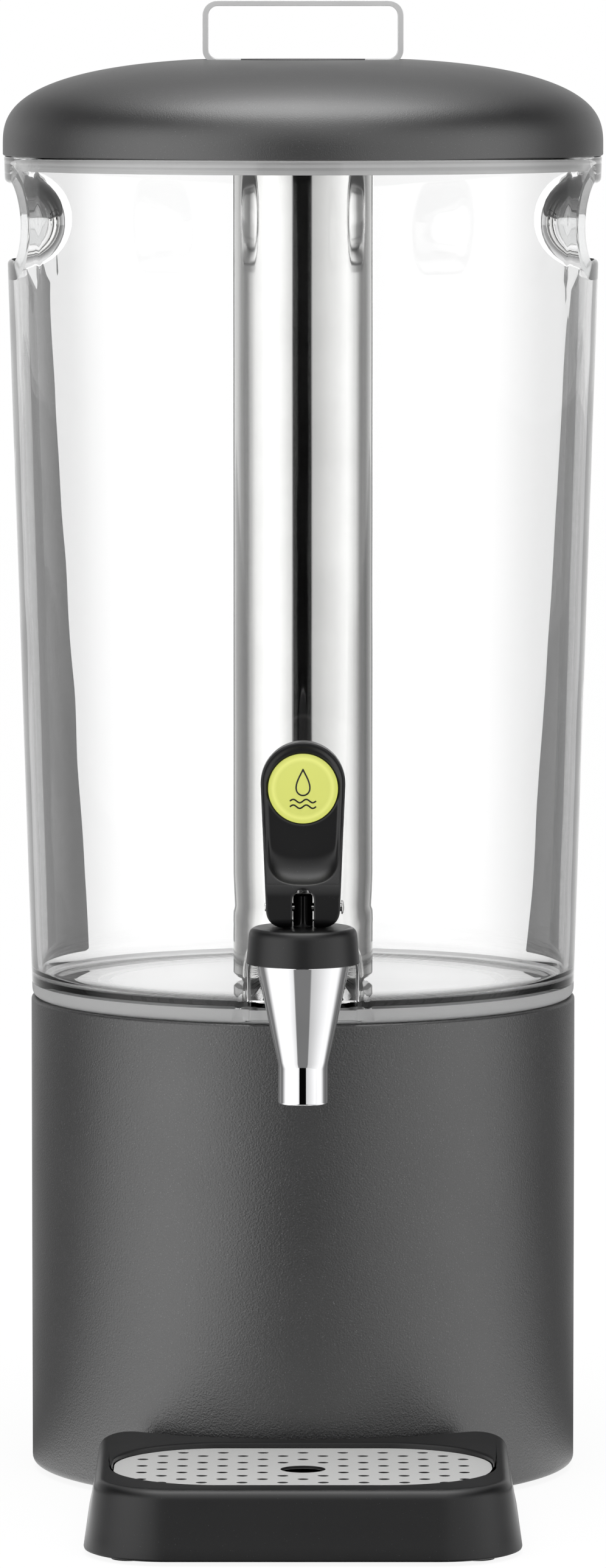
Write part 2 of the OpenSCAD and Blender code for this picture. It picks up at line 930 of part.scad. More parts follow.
// Side outline of the lever about its pin, with the front to the left
module lever_side() {
  steps = 8;
  heel = [for (i = [0 : steps]) heel_point(lever_tilt * i / steps)];
  difference() {
    polygon(concat(
      [[block_back, lever_h], [block_back, -lever_foot]],
      heel,
      [[-block_front, heel[steps][1] + heel_step], [-block_front, lever_h]]
    ));
    scoop(rim_front, sweep_r, sweep_z);
    mirror([1, 0])
      scoop(paddle_back, scoop_r, ledge_h + scoop_r);
  }
}

// Dished face of the lever inside its rim
module lever_dish() {
  intersection() {
    translate([0, block_back, 0])
      rotate([90, 0, 0])
        linear_extrude(block_back + block_front + cut)
          lever_front(rim_w, ledge_h, dish_corner);
    translate([-lever_w, 0, 0])
      rotate([90, 0, 90])
        linear_extrude(2 * lever_w)
          scoop(paddle_front, scoop_r, ledge_h + scoop_r);
  }
}

module tap_lever() {
  color(black_plastic)
    difference() {
      translate([0, tap_y, pin_z])
        difference() {
          intersection() {
            translate([0, block_back, 0])
              rotate([90, 0, 0])
                linear_extrude(block_back + block_front)
                  lever_front(0, -lever_foot, lever_corner);
            translate([-lever_w, 0, 0])
              rotate([90, 0, 90])
                linear_extrude(2 * lever_w)
                  lever_side();
          }
          lever_dish();
          rod_y(badge_d / 2 + fixed_gap, -paddle_front - cut, -paddle_front + badge_sink, badge_h);
          translate([-stem_slot / 2, -block_front - cut, -2 * lever_foot])
            cube([stem_slot, block_front + block_back + 2 * cut, 2 * lever_foot + slot_top - stem_slot / 2]);
          rod_y(stem_slot / 2, -block_front - cut, block_back + cut, slot_top - stem_slot / 2);
        }
      pin_hole(pin_r + run_gap);
    }
}

module lever_badge() {
  y0 = tap_y - paddle_front + badge_sink - badge_t;
  color(lime)
    rod_y(badge_d / 2, y0, y0 + badge_t, pin_z + badge_h);
}

// Drip tray

// Plan of the tray, drawn in by inset on all sides
module tray_plan(inset) {
  d = tray_front - tray_back;
  translate([0, -(tray_front + tray_back) / 2])
    round_rect(tray_w - 2 * inset, d - 2 * inset, tray_corner - inset, $fn = hull_fn);
}

// One thin layer of the tray at height z
module tray_layer(z, inset) {
  translate([0, 0, z])
    linear_extrude(layer_t)
      tray_plan(inset);
}

// Plan of the grid, drawn in by inset
module grid_plan(inset) {
  translate([0, grid_y])
    round_rect(grid_w - 2 * inset, grid_d - 2 * inset, grid_corner - inset);
}

// Four places of the tray's pads
module at_tray_pads() {
  for (x = [-1, 1], y = [-tray_front + tray_pad_inset, -base_r])
    translate([x * (tray_w / 2 - tray_pad_inset), y, 0])
      children();
}

module drip_tray() {
  color(black_plastic)
    difference() {
      hull() {
        tray_layer(tray_pad_h, 0);
        for (a = [0 : 18 : 90])
          tray_layer(
            tray_h - layer_t - tray_edge_r * (1 - sin(a)),
            tray_draft + tray_edge_r * (1 - cos(a))
          );
      }
      translate([0, 0, -cut])
        cylinder(h = tray_h + 2 * cut, r = tray_cut_r);
      translate([0, 0, grid_z])
        linear_extrude(tray_h)
          grid_plan(-loose_gap);
      translate([0, 0, basin_z])
        linear_extrude(tray_h)
          grid_plan(grid_ledge);
      at_tray_pads()
        cylinder(h = tray_pad_h + pad_sink, r = tray_pad_d / 2 + fixed_gap);
    }
}

module tray_feet() {
  color(rubber)
    at_tray_pads()
      cylinder(h = tray_pad_h + pad_sink, r = tray_pad_d / 2);
}

// Whether a hole at x, y from the grid's centre stays inside the rim and clear of the finger hole
function hole_fits(x, y) =
  let (
    r = grid_corner - hole_margin,
    dx = max(abs(x) - grid_w / 2 + grid_corner, 0),
    dy = max(abs(y) - grid_d / 2 + grid_corner, 0)
  )
    norm([dx, dy]) <= r && norm([x, y]) > finger_r + hole_r + finger_land;

module drip_grid() {
  rows = floor(grid_d / 2 / row_pitch);
  columns = ceil(grid_w / 2 / hole_pitch);
  color(steel)
    translate([0, 0, grid_z])
      linear_extrude(grid_t)
        difference() {
          grid_plan(0);
          translate([0, grid_y]) {
            circle(finger_r);
            for (i = [-rows : rows], j = [-columns : columns])
              let (x = (j + (i % 2 == 0 ? 0.5 : 0)) * hole_pitch, y = i * row_pitch)
                if (hole_fits(x, y))
                  translate([x, y])
                    circle(hole_r);
          }
        }
}

base_shell();
base_plate();
base_screws();
foot_ring();
container();
lid_shell();
lid_liner();
lid_gasket();
lid_handle();
handle_screws();
ice_tube();
tube_collar();
tap_body();
tap_bonnet();
outer_washer();
inner_washer();
shank_nut();
valve_stem();
seat_cup();
return_spring();
pivot_pin();
tap_lever();
lever_badge();
drip_tray();
drip_grid();
tray_feet();
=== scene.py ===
"""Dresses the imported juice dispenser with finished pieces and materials, and sets up its studio."""
import math

import bmesh
import bpy
from mathutils import Matrix, Vector


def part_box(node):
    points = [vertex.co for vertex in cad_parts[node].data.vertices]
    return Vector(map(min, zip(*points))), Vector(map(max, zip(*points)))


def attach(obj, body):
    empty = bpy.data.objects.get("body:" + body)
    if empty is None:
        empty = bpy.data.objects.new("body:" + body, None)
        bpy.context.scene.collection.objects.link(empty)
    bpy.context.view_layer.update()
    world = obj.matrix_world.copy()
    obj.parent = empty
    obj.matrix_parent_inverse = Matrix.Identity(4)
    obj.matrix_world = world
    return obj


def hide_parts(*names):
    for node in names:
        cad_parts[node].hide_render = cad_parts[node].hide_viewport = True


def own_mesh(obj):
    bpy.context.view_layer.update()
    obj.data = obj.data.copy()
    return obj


bl_info = {
    "name": "Juice Dispenser",
    "version": (1, 0, 0),
    "blender": (4, 5, 0),
    "location": "View3D > Sidebar > Dispenser",
    "description": "Builds the finished pieces, materials and studio of a juice dispenser",
    "category": "Add Mesh",
}

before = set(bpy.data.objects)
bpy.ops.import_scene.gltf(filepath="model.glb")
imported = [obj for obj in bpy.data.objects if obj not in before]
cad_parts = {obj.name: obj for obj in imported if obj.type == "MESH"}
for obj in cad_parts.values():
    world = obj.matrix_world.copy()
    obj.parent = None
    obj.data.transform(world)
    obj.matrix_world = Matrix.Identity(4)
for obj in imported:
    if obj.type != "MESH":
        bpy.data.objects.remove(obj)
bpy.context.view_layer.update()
MM = 0.001
ROUND_STEPS = 192
MERGE = 1e-6


# Settings


def length(name, about, mm):
    """A length property with its default in millimetres."""
    return bpy.props.FloatProperty(
        name=name, description=about, default=mm * MM, min=0.0, unit="LENGTH", precision=5
    )


def share(name, about, value, most=1.0):
    """A plain number from nought to the given most."""
    return bpy.props.FloatProperty(name=name, description=about, default=value, min=0.0, max=most)


def count(name, about, value):
    """A whole number of parts."""
    return bpy.props.IntProperty(name=name, description=about, default=value, min=3)


def colour(name, about, value):
    """A linear colour."""
    return bpy.props.FloatVectorProperty(
        name=name, description=about, default=value, size=3, min=0.0, max=1.0, subtype="COLOR"
    )


class BaseSettings(bpy.types.PropertyGroup):
    wall: length("Wall", "Thickness of the base's wall", 3.5)
    recess: length("Recess radius", "Radius of the recess in the deck", 75.5)
    recess_depth: length("Recess depth", "Depth of the recess in the deck", 6.0)
    deck: length("Deck", "Thickness of the deck", 4.0)
    top_edge: length("Top edge", "Rounding of the upper edge", 1.2)
    foot_edge: length("Lower edge", "Rounding of the lower edge", 2.5)
    tint: colour("Plastic", "Colour of the base's plastic", (0.016, 0.016, 0.0165))


class ContainerSettings(bpy.types.PropertyGroup):
    foot: length("Foot radius", "Outer radius at the lower end", 100.1)
    wall: length("Wall", "Thickness of the wall", 3.6)
    foot_z: length("Foot height", "Height of the lower end", 175.0)
    floor: length("Floor", "Thickness of the floor", 5.8)
    fillet: length("Fillet", "Rounding between floor and wall", 6.0)
    edge: length("Lower edge", "Rounding of the lower outer edge", 3.0)
    rim_edge: length("Rim", "Rounding of the rim", 1.0)
    ring_in: length("Ring inside", "Inner radius of the locating ring", 71.0)
    ring_out: length("Ring outside", "Outer radius of the locating ring", 75.0)
    taper: share("Taper", "Growth of the radius per unit of height", 0.0312903)
    columns: count("Columns", "Columns of faces round the wall", 240)
    grip_x: length("Grip axis", "Distance of a grip's axis from the middle", 104.05)
    grip_z: length("Grip height", "Height of the grips", 461.0)
    grip_half: length("Grip half length", "Half of the straight part of a grip", 21.1)
    grip_r: length("Grip radius", "Radius of a grip's hollow", 14.4)
    grip_lip: length("Grip lip", "Rounding of a grip's lip", 1.6)
    pad_face: length("Pad face", "Distance of the tap pad's face from the middle", 101.504)
    pad_inner: length("Pad inside", "Distance of the tap pad's inner face", 93.504)
    pad_half: length("Pad half width", "Half width of the tap pad", 19.35)
    pad_z: length("Pad height", "Height of the pad's arch centre and the shank", 193.5)
    hole: length("Hole", "Radius of the shank's hole", 8.3)


class LidSettings(bpy.types.PropertyGroup):
    wall: length("Wall", "Thickness of the lid", 2.5)
    band: length("Band", "Height of the upright band", 3.8)
    rise: length("Rise", "Rise of the dome before its crown is cut", 32.0)
    dish: length("Dish", "Radius of the dished top", 37.3)
    dish_depth: length("Dish depth", "Depth of the dished top", 1.8)
    edge: length("Edge", "Rounding of the dish's edge", 0.7)
    power: share("Power", "Power of the dome's curve", 2.7, 4.0)
    handle_edge: length("Handle edge", "Rounding of the handle's edges", 0.45)
    tint: colour("Plastic", "Colour of the lid's plastic", (0.018, 0.018, 0.0185))


class TapSettings(bpy.types.PropertyGroup):
    y: bpy.props.FloatProperty(
        name="Axis", description="Where the tap's axis stands", default=-0.142004, unit="LENGTH"
    )
    shank_z: length("Shank height", "Height of the shank", 193.5)
    shank: length("Shank radius", "Radius of the shank", 8.0)
    bore: length("Shank bore", "Radius of the shank's bore", 5.0)
    thread: length("Thread", "Pitch of the shank's thread", 1.5)
    thread_deep: length("Thread depth", "Depth of the shank's thread", 0.55)
    flange: length("Flange", "Radius of the flange", 13.0)
    outlet: length("Outlet", "Outer radius of the outlet", 8.8)
    outlet_bore: length("Outlet bore", "Radius of the outlet's bore", 6.0)
    cone_z: length("Cone foot", "Height of the cone's lower end", 166.0)
    cone_top: length("Cone top", "Height of the cone's upper end", 202.0)
    cone: length("Cone radius", "Radius of the cone's upper end", 16.8)
    seat_z: length("Seat", "Height of the valve seat", 185.0)
    chamber: length("Chamber", "Radius of the valve chamber", 11.0)
    neck: length("Neck", "Radius of the thread under the bonnet", 15.5)
    stem_hole: length("Stem hole", "Radius of the bonnet's hole", 3.47)
    shoulder: length("Shoulder", "Rounding of the bonnet's shoulder", 3.2)
    lever_voxel: length("Lever detail", "Size of the lever's smallest detail", 0.35)
    lever_ease: count("Lever easing", "Rounds of smoothing on the lever", 9)
    lever_top: length("Lever top", "Height of the centre of the lever's round top above the pin", 44.0)
    lever_r: length("Lever radius", "Radius of the lever's round top", 15.0)
    lever_low: length("Lever foot", "Half width of the lever at its foot", 12.8)
    lever_foot: length("Lever drop", "How far the lever reaches below the pin", 6.7)
    block: length("Block", "How far the lever's block reaches in front of the pin", 12.0)
    rim_face: length("Rim", "How far the lever's rim lies in front of the pin", 5.4)
    rim_wide: length("Rim width", "Width of the lever's rim", 1.4)
    sweep: length("Sweep", "Radius in which the rim sweeps down to the block", 30.0)
    sweep_z: length("Sweep height", "Height above the pin at which the sweep begins", 27.77)
    dish: length("Dish", "How far the dished face lies in front of the pin", 4.5)
    dish_low: length("Dish foot", "Height of the dished face's lowest point above the pin", 8.3)
    dish_side: length("Dish sides", "Height above the pin at which the dish's curved foot begins", 16.5)
    scoop: length("Scoop", "Radius in which the dished face sweeps to its lip", 10.0)
    pin_z: length("Pin", "Height of the pin", 222.0)
    pin: length("Pin radius", "Radius of the pin", 1.5)
    badge_z: length("Badge height", "Height of the badge's middle", 264.5)
    badge_dome: length("Badge dome", "How far the badge bulges", 0.55)
    badge_tint: colour("Badge", "Colour of the badge", (0.82, 0.86, 0.21))
    coils: count("Coils", "Turns of the return spring", 5)
    wire: length("Wire", "Thickness of the spring's wire", 1.0)
    coil: length("Coil", "Mean radius of the spring", 7.0)


class TraySettings(bpy.types.PropertyGroup):
    front: length("Front", "Distance of the front edge from the middle", 222.0)
    half: length("Half width", "Half width at the foot", 77.0)
    corner: length("Corner", "Rounding of the tray's corners", 30.0)
    back: length("Back", "Distance of the rear corners from the middle", 74.5)
    hollow: length("Hollow", "Radius of the hollow that goes round the base", 101.5)
    tip: length("Tip", "Rounding of the tips beside the base", 6.0)
    draft: length("Draft", "How far the sides lean in", 3.5)
    edge: length("Edge", "Rounding of the upper edge", 4.0)
    grid_half_x: length("Grid half width", "Half width of the grid's seat", 67.5)
    grid_half_y: length("Grid half depth", "Half depth of the grid's seat", 45.5)
    grid_corner: length("Grid corner", "Corner of the grid's seat", 38.5)
    grid_y: length("Grid place", "Distance of the grid's middle", 161.0)
    seat_z: length("Seat height", "Height of the grid's seat", 22.8)
    basin_z: length("Basin", "Height of the basin's floor", 3.7)
    ledge: length("Ledge", "Width of the ledge under the grid", 4.5)
    lip: length("Lip", "Rounding of the seat's lip", 0.8)
    grid_edge: length("Grid edge", "Rounding of the grid's edges", 0.22)


class StageSettings(bpy.types.PropertyGroup):
    walls: share("Walls", "Strength of the studio walls", 1.0, 20.0)
    backdrop: share("Backdrop", "Strength of the backdrop", 1.0, 20.0)
    flat: share("Grey flats", "Strength of the grey flats behind the object", 0.16, 20.0)
    ceiling: share("Ceiling", "Strength of the soft light overhead", 1.8, 20.0)
    lamp: share("Lamp", "Power of the lamp overhead in watts", 6.0, 500.0)
    lens: bpy.props.FloatProperty(
        name="Lens", description="Focal length in millimetres", default=206.85, unit="CAMERA"
    )
    camera: bpy.props.FloatVectorProperty(
        name="Camera", description="Where the camera stands", default=(0.0, -3.316, 0.5477),
        size=3, subtype="XYZ", unit="LENGTH",
    )
    target: bpy.props.FloatVectorProperty(
        name="Target", description="What the camera looks at", default=(0.0, 0.0, 0.2531),
        size=3, subtype="XYZ", unit="LENGTH",
    )


# Shapes


def bent(a, corner, b, t):
    """Point at a share t of a curve from a to b that bends towards a corner."""
    return a * (1 - t) ** 2 + corner * (2 * t * (1 - t)) + b * t**2


def crossing(low, high, holds):
    """Last angle between two at which a test still holds."""
    for _ in range(40):
        middle = (low + high) / 2
        low, high = (middle, high) if holds(middle) else (low, middle)
    return low


def rounded(path, parts=6):
    """Points of a path of (radius, height, rounding), its inner corners drawn as curves."""
    points = []
    for i, (r, z, e) in enumerate(path):
        here = Vector((r, z))
        if not e or i in (0, len(path) - 1):
            points.append((r, z))
            continue
        sides = [Vector(path[k][:2]) - here for k in (i - 1, i + 1)]
        a, b = (here + side.normalized() * e for side in sides)
        for k in range(parts + 1):
            p = bent(a, here, b, k / parts)
            points.append((p.x, p.y))
    return points


def arc(r, z, e, start, end, parts):
    """Points of an arc of radius e about (r, z), angles in degrees."""
    angles = [math.radians(start + (end - start) * k / parts) for k in range(parts + 1)]
    return [(r + e * math.cos(a), z + e * math.sin(a)) for a in angles]


def turned(path, steps=ROUND_STEPS):
    """Spins a path of (radius, height) about Z into a closed skin."""
    bm = bmesh.new()
    verts = [bm.verts.new((r, 0.0, z)) for r, z in path]
    edges = [bm.edges.new(pair) for pair in zip(verts, verts[1:])]
    bmesh.ops.spin(
        bm, geom=verts + edges, cent=(0, 0, 0), axis=(0, 0, 1),
        angle=math.tau, steps=steps, use_merge=True,
    )
    cleaned(bm)
    return bm


def cleaned(bm):
    """Merges doubled points and turns all faces outwards."""
    bmesh.ops.remove_doubles(bm, verts=bm.verts, dist=MERGE)
    bmesh.ops.dissolve_degenerate(bm, edges=bm.edges, dist=MERGE)
    bmesh.ops.recalc_face_normals(bm, faces=bm.faces)


def placed(bm, matrix):
    """Moves a whole skin into place."""
    bmesh.ops.transform(bm, matrix=matrix, verts=bm.verts)
    return bm


def smooth_step(t):
    """Eases from nought to one."""
    t = min(max(t, 0.0), 1.0)
    return t * t * (3 - 2 * t)


def ring_of(bm, points):
    """A closed ring of edges through the points."""
    verts = [bm.verts.new(p) for p in points]
    return [bm.edges.new(pair) for pair in zip(verts, verts[1:] + verts[:1])]


def bridged(bm, rings):
    """Bridges each ring to the next."""
    for a, b in zip(rings, rings[1:]):
        bmesh.ops.bridge_loops(bm, edges=a + b)


def capped(bm, ring):
    """Closes a ring with one face."""
    bmesh.ops.holes_fill(bm, edges=ring, sides=0)


def opened(bm, inside):
    """Takes out the faces whose middle passes the test, and returns the edges round the hole."""
    faces = {f for f in bm.faces if inside(f.calc_center_median())}
    rim = [e for e in {e for f in faces for e in f.edges} if any(f not in faces for f in e.link_faces)]
    bmesh.ops.delete(bm, geom=list(faces), context="FACES")
    return rim


def softened(node, width, angle=30):
    """A merged copy of a CAD node with its sharp edges bevelled."""
    bm = bmesh.new()
    bm.from_mesh(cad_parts[node].data)
    cleaned(bm)
    bmesh.ops.dissolve_limit(bm, angle_limit=math.radians(0.5), verts=bm.verts, edges=bm.edges)
    sharp = [e for e in bm.edges if e.is_manifold and e.calc_face_angle(0) > math.radians(angle)]
    bmesh.ops.bevel(
        bm, geom=sharp, offset=width, offset_type="OFFSET", segments=3, profile=0.5,
        affect="EDGES", clamp_overlap=True, material=-1,
    )
    return bm


def mesh_of(bm, name):
    """A mesh of a skin; the skin is freed."""
    mesh = bpy.data.meshes.new(name)
    bm.to_mesh(mesh)
    bm.free()
    return mesh


def linked(name, data):
    """Adds an object to the scene."""
    made = bpy.data.objects.new(name, data)
    bpy.context.scene.collection.objects.link(made)
    return made


def baked(source, name):
    """A mesh of an object with its modifiers applied; the object is removed."""
    graph = bpy.context.evaluated_depsgraph_get()
    mesh = bpy.data.meshes.new_from_object(source.evaluated_get(graph), depsgraph=graph)
    mesh.name = name
    bpy.data.objects.remove(source)
    return mesh


def weighted(mesh):
    """The mesh with normals that follow its large faces, so that rounded edges don't shade them."""
    name = mesh.name
    source = linked(name + "_source", mesh)
    source.modifiers.new("Normals", "WEIGHTED_NORMAL").keep_sharp = True
    made = baked(source, name + "_mesh")
    bpy.data.meshes.remove(mesh)
    made.name = name
    return made


def finished(name, bm, body, slot, material, *nodes, sharp=40, flat=True):
    """Makes a piece of a skin: shading, material, body and the CAD nodes it stands for; the slot is not used.
    """
    return piece_of(mesh_of(bm, name), body, slot, material, *nodes, sharp=sharp, flat=flat)


def piece_of(mesh, body, slot, material, *nodes, sharp=40, flat=False):
    """Makes a piece of a mesh, with normals that keep its large faces flat if asked."""
    mesh.shade_smooth()
    mesh.set_sharp_from_angle(angle=math.radians(sharp))
    mesh.materials.clear()
    mesh.materials.append(material)
    piece = linked(mesh.name, weighted(mesh) if flat else mesh)
    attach(piece, body)
    if nodes:
        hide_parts(*nodes)
    return piece


def dressed(material, *nodes):
    """Gives CAD nodes a material."""
    for name in nodes:
        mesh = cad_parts[name].data
        mesh.materials.clear()
        mesh.materials.append(material)


# Materials


def add(tree, kind, inputs, **settings):
    """Adds a node, with values or links for its inputs."""
    node = tree.nodes.new(kind)
    for name, value in settings.items():
        setattr(node, name, value)
    for name, value in inputs.items():
        if isinstance(value, bpy.types.NodeSocket):
            tree.links.new(value, node.inputs[name])
        else:
            node.inputs[name].default_value = value
    return node


def material_of(name, **constants):
    """A material with constants on its shader; returns it with its tree, shader and coordinates."""
    material = bpy.data.materials.new(name)
    material.use_nodes = True
    tree = material.node_tree
    shader = tree.nodes["Principled BSDF"]
    for key, value in constants.items():
        shader.inputs[key.replace("_", " ")].default_value = value
    place = add(tree, "ShaderNodeTexCoord", {}).outputs["Object"]
    return material, tree, shader, place


def bare_material(mesh):
    """Gives a mesh a material without nodes and returns its node tree."""
    material = bpy.data.materials.new(mesh.name)
    material.use_nodes = True
    material.node_tree.nodes.clear()
    mesh.materials.append(material)
    return material.node_tree


def noise(tree, place, scale, detail=2.0, stretch=None):
    """A noise pattern, stretched along an axis if asked; returns its value."""
    if stretch:
        place = add(tree, "ShaderNodeMapping", {"Vector": place, "Scale": stretch}).outputs[0]
    made = add(tree, "ShaderNodeTexNoise", {"Vector": place, "Scale": scale, "Detail": detail})
    return made.outputs[0]


def ranged(tree, value, low, high, start, end):
    """Maps a value from one range to another."""
    inputs = {"Value": value, "From Min": low, "From Max": high, "To Min": start, "To Max": end}
    return add(tree, "ShaderNodeMapRange", inputs).outputs[0]


def ramp(tree, value, stops):
    """Maps a value to colours at the given stops."""
    node = add(tree, "ShaderNodeValToRGB", {"Fac": value})
    points = node.color_ramp.elements
    while len(points) < len(stops):
        points.new(0.5)
    for point, (at, tint) in zip(points, stops):
        point.position = at
        point.color = (*tint, 1.0)
    return node.outputs["Color"]


def maths(tree, operation, *values):
    """The result of a sum on numbers or links."""
    return add(tree, "ShaderNodeMath", dict(enumerate(values)), operation=operation).outputs[0]


def vectors(tree, operation, *values):
    """The result of a sum on vectors or links."""
    node = add(tree, "ShaderNodeVectorMath", dict(enumerate(values)), operation=operation)
    return node.outputs["Value" if operation == "DISTANCE" else "Vector"]


def split(tree, place):
    """The three parts of a place."""
    return add(tree, "ShaderNodeSeparateXYZ", {0: place}).outputs


def glowing(tree, strength, kind="ShaderNodeEmission"):
    """White light of a given strength."""
    return add(tree, kind, {"Color": (1, 1, 1, 1), "Strength": strength}).outputs[0]


def mixed(tree, part, first, second):
    """Two shaders mixed by a part."""
    return add(tree, "ShaderNodeMixShader", {0: part, 1: first, 2: second}).outputs[0]


def feed(tree, shader, **links):
    """Links values to the shader's inputs."""
    for name, value in links.items():
        tree.links.new(value, shader.inputs[name.replace("_", " ")])


def bumped(tree, shader, height, distance):
    """Sends a height to the shader's normal."""
    inputs = {"Height": height, "Distance": distance, "Strength": 1.0}
    feed(tree, shader, Normal=add(tree, "ShaderNodeBump", inputs).outputs[0])


def moulded(name, tint, gloss, grain, depth, specks=0.0, **constants):
    """Moulded plastic: grain of a given scale and depth, a few pale specks and uneven gloss."""
    material, tree, shader, place = material_of(name, **constants)
    fine = noise(tree, place, grain, 3.0)
    bumped(tree, shader, fine, depth)
    pale = tuple(min(1.0, c * 3.0 + 0.05) for c in tint)
    deep = tuple(c * 0.82 for c in tint)
    dust = noise(tree, place, 2600.0, 1.0)
    stops = [(0.30, deep), (0.55, tint), (0.80 - specks, tint), (0.86 - specks, pale)]
    uneven = ranged(tree, noise(tree, place, 22.0, 2.0), 0.3, 0.7, gloss - 0.03, gloss + 0.04)
    feed(tree, shader, Base_Color=ramp(tree, dust, stops), Roughness=uneven)
    return material


def metal(name, tint, gloss, streaks=None, depth=0.0, spread=0.02, bare=1.0):
    """Metal with uneven gloss, and brushed streaks along one axis if asked; a matt finish is less bare."""
    material, tree, shader, place = material_of(name, Metallic=bare)
    wipe = noise(tree, place, 35.0, 3.0)
    uneven = ranged(tree, wipe, 0.3, 0.7, gloss - spread / 2, gloss + spread)
    shade = tuple(c * 0.94 for c in tint)
    feed(tree, shader, Base_Color=ramp(tree, wipe, [(0.35, shade), (0.65, tint)]), Roughness=uneven)
    if streaks:
        bumped(tree, shader, noise(tree, place, 1.0, 3.0, streaks), depth)
    return material


def grid_metal_with_painted_shade(low, high):
    """Fine matt steel with painted shade: the walls of its holes and its edges, between two heights, are
    dark.
    """
    material, tree, shader, place = material_of("grid_steel", Metallic=0.3, Roughness=0.5)
    height = ranged(tree, split(tree, place)[2], low, high, 0.0, 1.0)
    # wall is painted shade, not the steel's colour: it darkens the hole walls and the plate's edges.
    face, wall = (0.80, 0.80, 0.79), (0.03, 0.03, 0.03)
    stops = [(0.0, face), (0.12, wall), (0.82, wall), (0.95, face)]
    feed(tree, shader, Base_Color=ramp(tree, height, stops))
    bumped(tree, shader, noise(tree, place, 1.0, 3.0, (40.0, 3000.0, 3000.0)), 0.00002)
    return material


def clear_plastic(s):
    """Clear moulded plastic, frosted at its foot and a little darker where it is thick."""
    material, tree, shader, place = material_of("clear_plastic", IOR=1.5)
    floor = s.foot_z + s.floor
    frost = ranged(tree, split(tree, place)[2], floor - 0.5 * MM, floor - 0.2 * MM, 1.0, 0.0)
    feed(
        tree, shader,
        Base_Color=ramp(tree, frost, [(0.0, (1.0, 1.0, 1.0)), (1.0, (0.97, 0.97, 0.97))]),
        Roughness=ranged(tree, frost, 0.0, 1.0, 0.0, 0.75),
        Transmission_Weight=ranged(tree, frost, 0.0, 1.0, 1.0, 0.6),
    )
    bumped(tree, shader, noise(tree, place, 18.0, 1.0), 0.0002)
    absorb = {"Color": (0.90, 0.905, 0.905, 1.0), "Density": 12.0}
    volume = add(tree, "ShaderNodeVolumeAbsorption", absorb).outputs[0]
    feed(tree, tree.nodes["Material Output"], Volume=volume)
    return material


def silicone():
    """Milky silicone with painted highlights: faint paler level streaks stand for bright lines of reflected
    light.
    """
    material, tree, shader, place = material_of(
        "silicone", IOR=1.42, Transmission_Weight=0.15, Roughness=0.25
    )
    # The paler level streaks are painted highlights, not the silicone's own colour.
    painted_streaks = noise(tree, place, 1.0, 2.0, (2.0, 2.0, 600.0))
    stops = [(0.38, (0.70, 0.70, 0.70)), (0.62, (0.98, 0.98, 0.98))]
    feed(tree, shader, Base_Color=ramp(tree, painted_streaks, stops))
    bumped(tree, shader, noise(tree, place, 900.0, 2.0), 0.00004)
    return material


def badge_enamel_with_painted_sheen(tint, middle, radius):
    """Enamel under a clear dome, with a painted sheen: a paler ring towards its rim stands for the dome's
    reflection.
    """
    material, tree, shader, place = material_of(
        "lime_enamel_painted_sheen", Roughness=0.32, Coat_Weight=1.0, Coat_Roughness=0.04
    )
    # pale is painted sheen: the paler ring near the rim stands for the clear dome's reflection.
    pale = tuple(min(1.0, c * 1.12 + 0.05) for c in tint)
    at = ranged(tree, vectors(tree, "DISTANCE", place, middle), 0.0, radius, 0.0, 1.0)
    stops = [(0.0, tint), (0.84, tint), (0.93, pale), (1.0, tint)]
    feed(tree, shader, Base_Color=ramp(tree, at, stops))
    bumped(tree, shader, noise(tree, place, 700.0, 2.0), 0.00002)
    return material


MATERIALS = {}
SATIN = {"IOR": 1.6, "Specular_IOR_Level": 1.0}
BRUSHED = {"streaks": (30.0, 2600.0, 2600.0), "depth": 0.00002}
DRAWN = {"streaks": (2600.0, 2600.0, 12.0), "depth": 0.000004}


class DISPENSER_OT_materials(bpy.types.Operator):
    """Make the materials and dress the CAD nodes that stay"""

    bl_idname = "dispenser.materials"
    bl_label = "Materials"

    def execute(self, context):
        scene = context.scene
        tap = scene.dispenser_tap
        middle = (0.0, tap.y, tap.badge_z)
        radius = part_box("lever_badge")[1][0]
        base, lid = scene.dispenser_base.tint, scene.dispenser_lid.tint
        black, gloss, rubber = (0.007, 0.007, 0.0075), (0.005, 0.005, 0.0055), (0.025, 0.025, 0.026)
        MATERIALS.update(
            base=moulded("base_plastic", base, 0.36, grain=1500.0, depth=0.00015, specks=0.14, **SATIN),
            lid=moulded("lid_plastic", lid, 0.36, grain=2100.0, depth=0.00005, specks=0.09, **SATIN),
            black=moulded("black_plastic", black, 0.34, grain=2600.0, depth=0.00001, specks=0.05),
            gloss=moulded("gloss_black", gloss, 0.12, grain=900.0, depth=0.000005),
            clear=clear_plastic(scene.dispenser_container),
            silicone=silicone(),
            rubber=moulded("rubber", rubber, 0.62, grain=1400.0, depth=0.00012),
            steel=metal("steel", (0.68, 0.68, 0.67), 0.30, **BRUSHED),
            handle=metal("handle_steel", (0.90, 0.90, 0.90), 0.30, bare=0.35, **BRUSHED),
            grid=grid_metal_with_painted_shade(*(corner[2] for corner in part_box("drip_grid"))),
            polished=metal("polished_steel", (0.80, 0.80, 0.79), 0.05, **DRAWN),
            chrome=metal("chrome", (0.90, 0.90, 0.91), 0.03, spread=0.015),
            lime=badge_enamel_with_painted_sheen(tap.badge_tint, middle, radius),
        )
        m = MATERIALS
        dressed(m["black"], "base_plate", "lid_liner", "tube_collar", "shank_nut")
        dressed(m["steel"], "base_screws", "handle_screws")
        dressed(m["rubber"], "foot_ring", "outer_washer", "inner_washer", "tray_feet")
        dressed(m["silicone"], "lid_gasket", "seat_cup")
        dressed(m["gloss"], "valve_stem")
        dressed(m["chrome"], "pivot_pin")
        return {"FINISHED"}


# Pieces


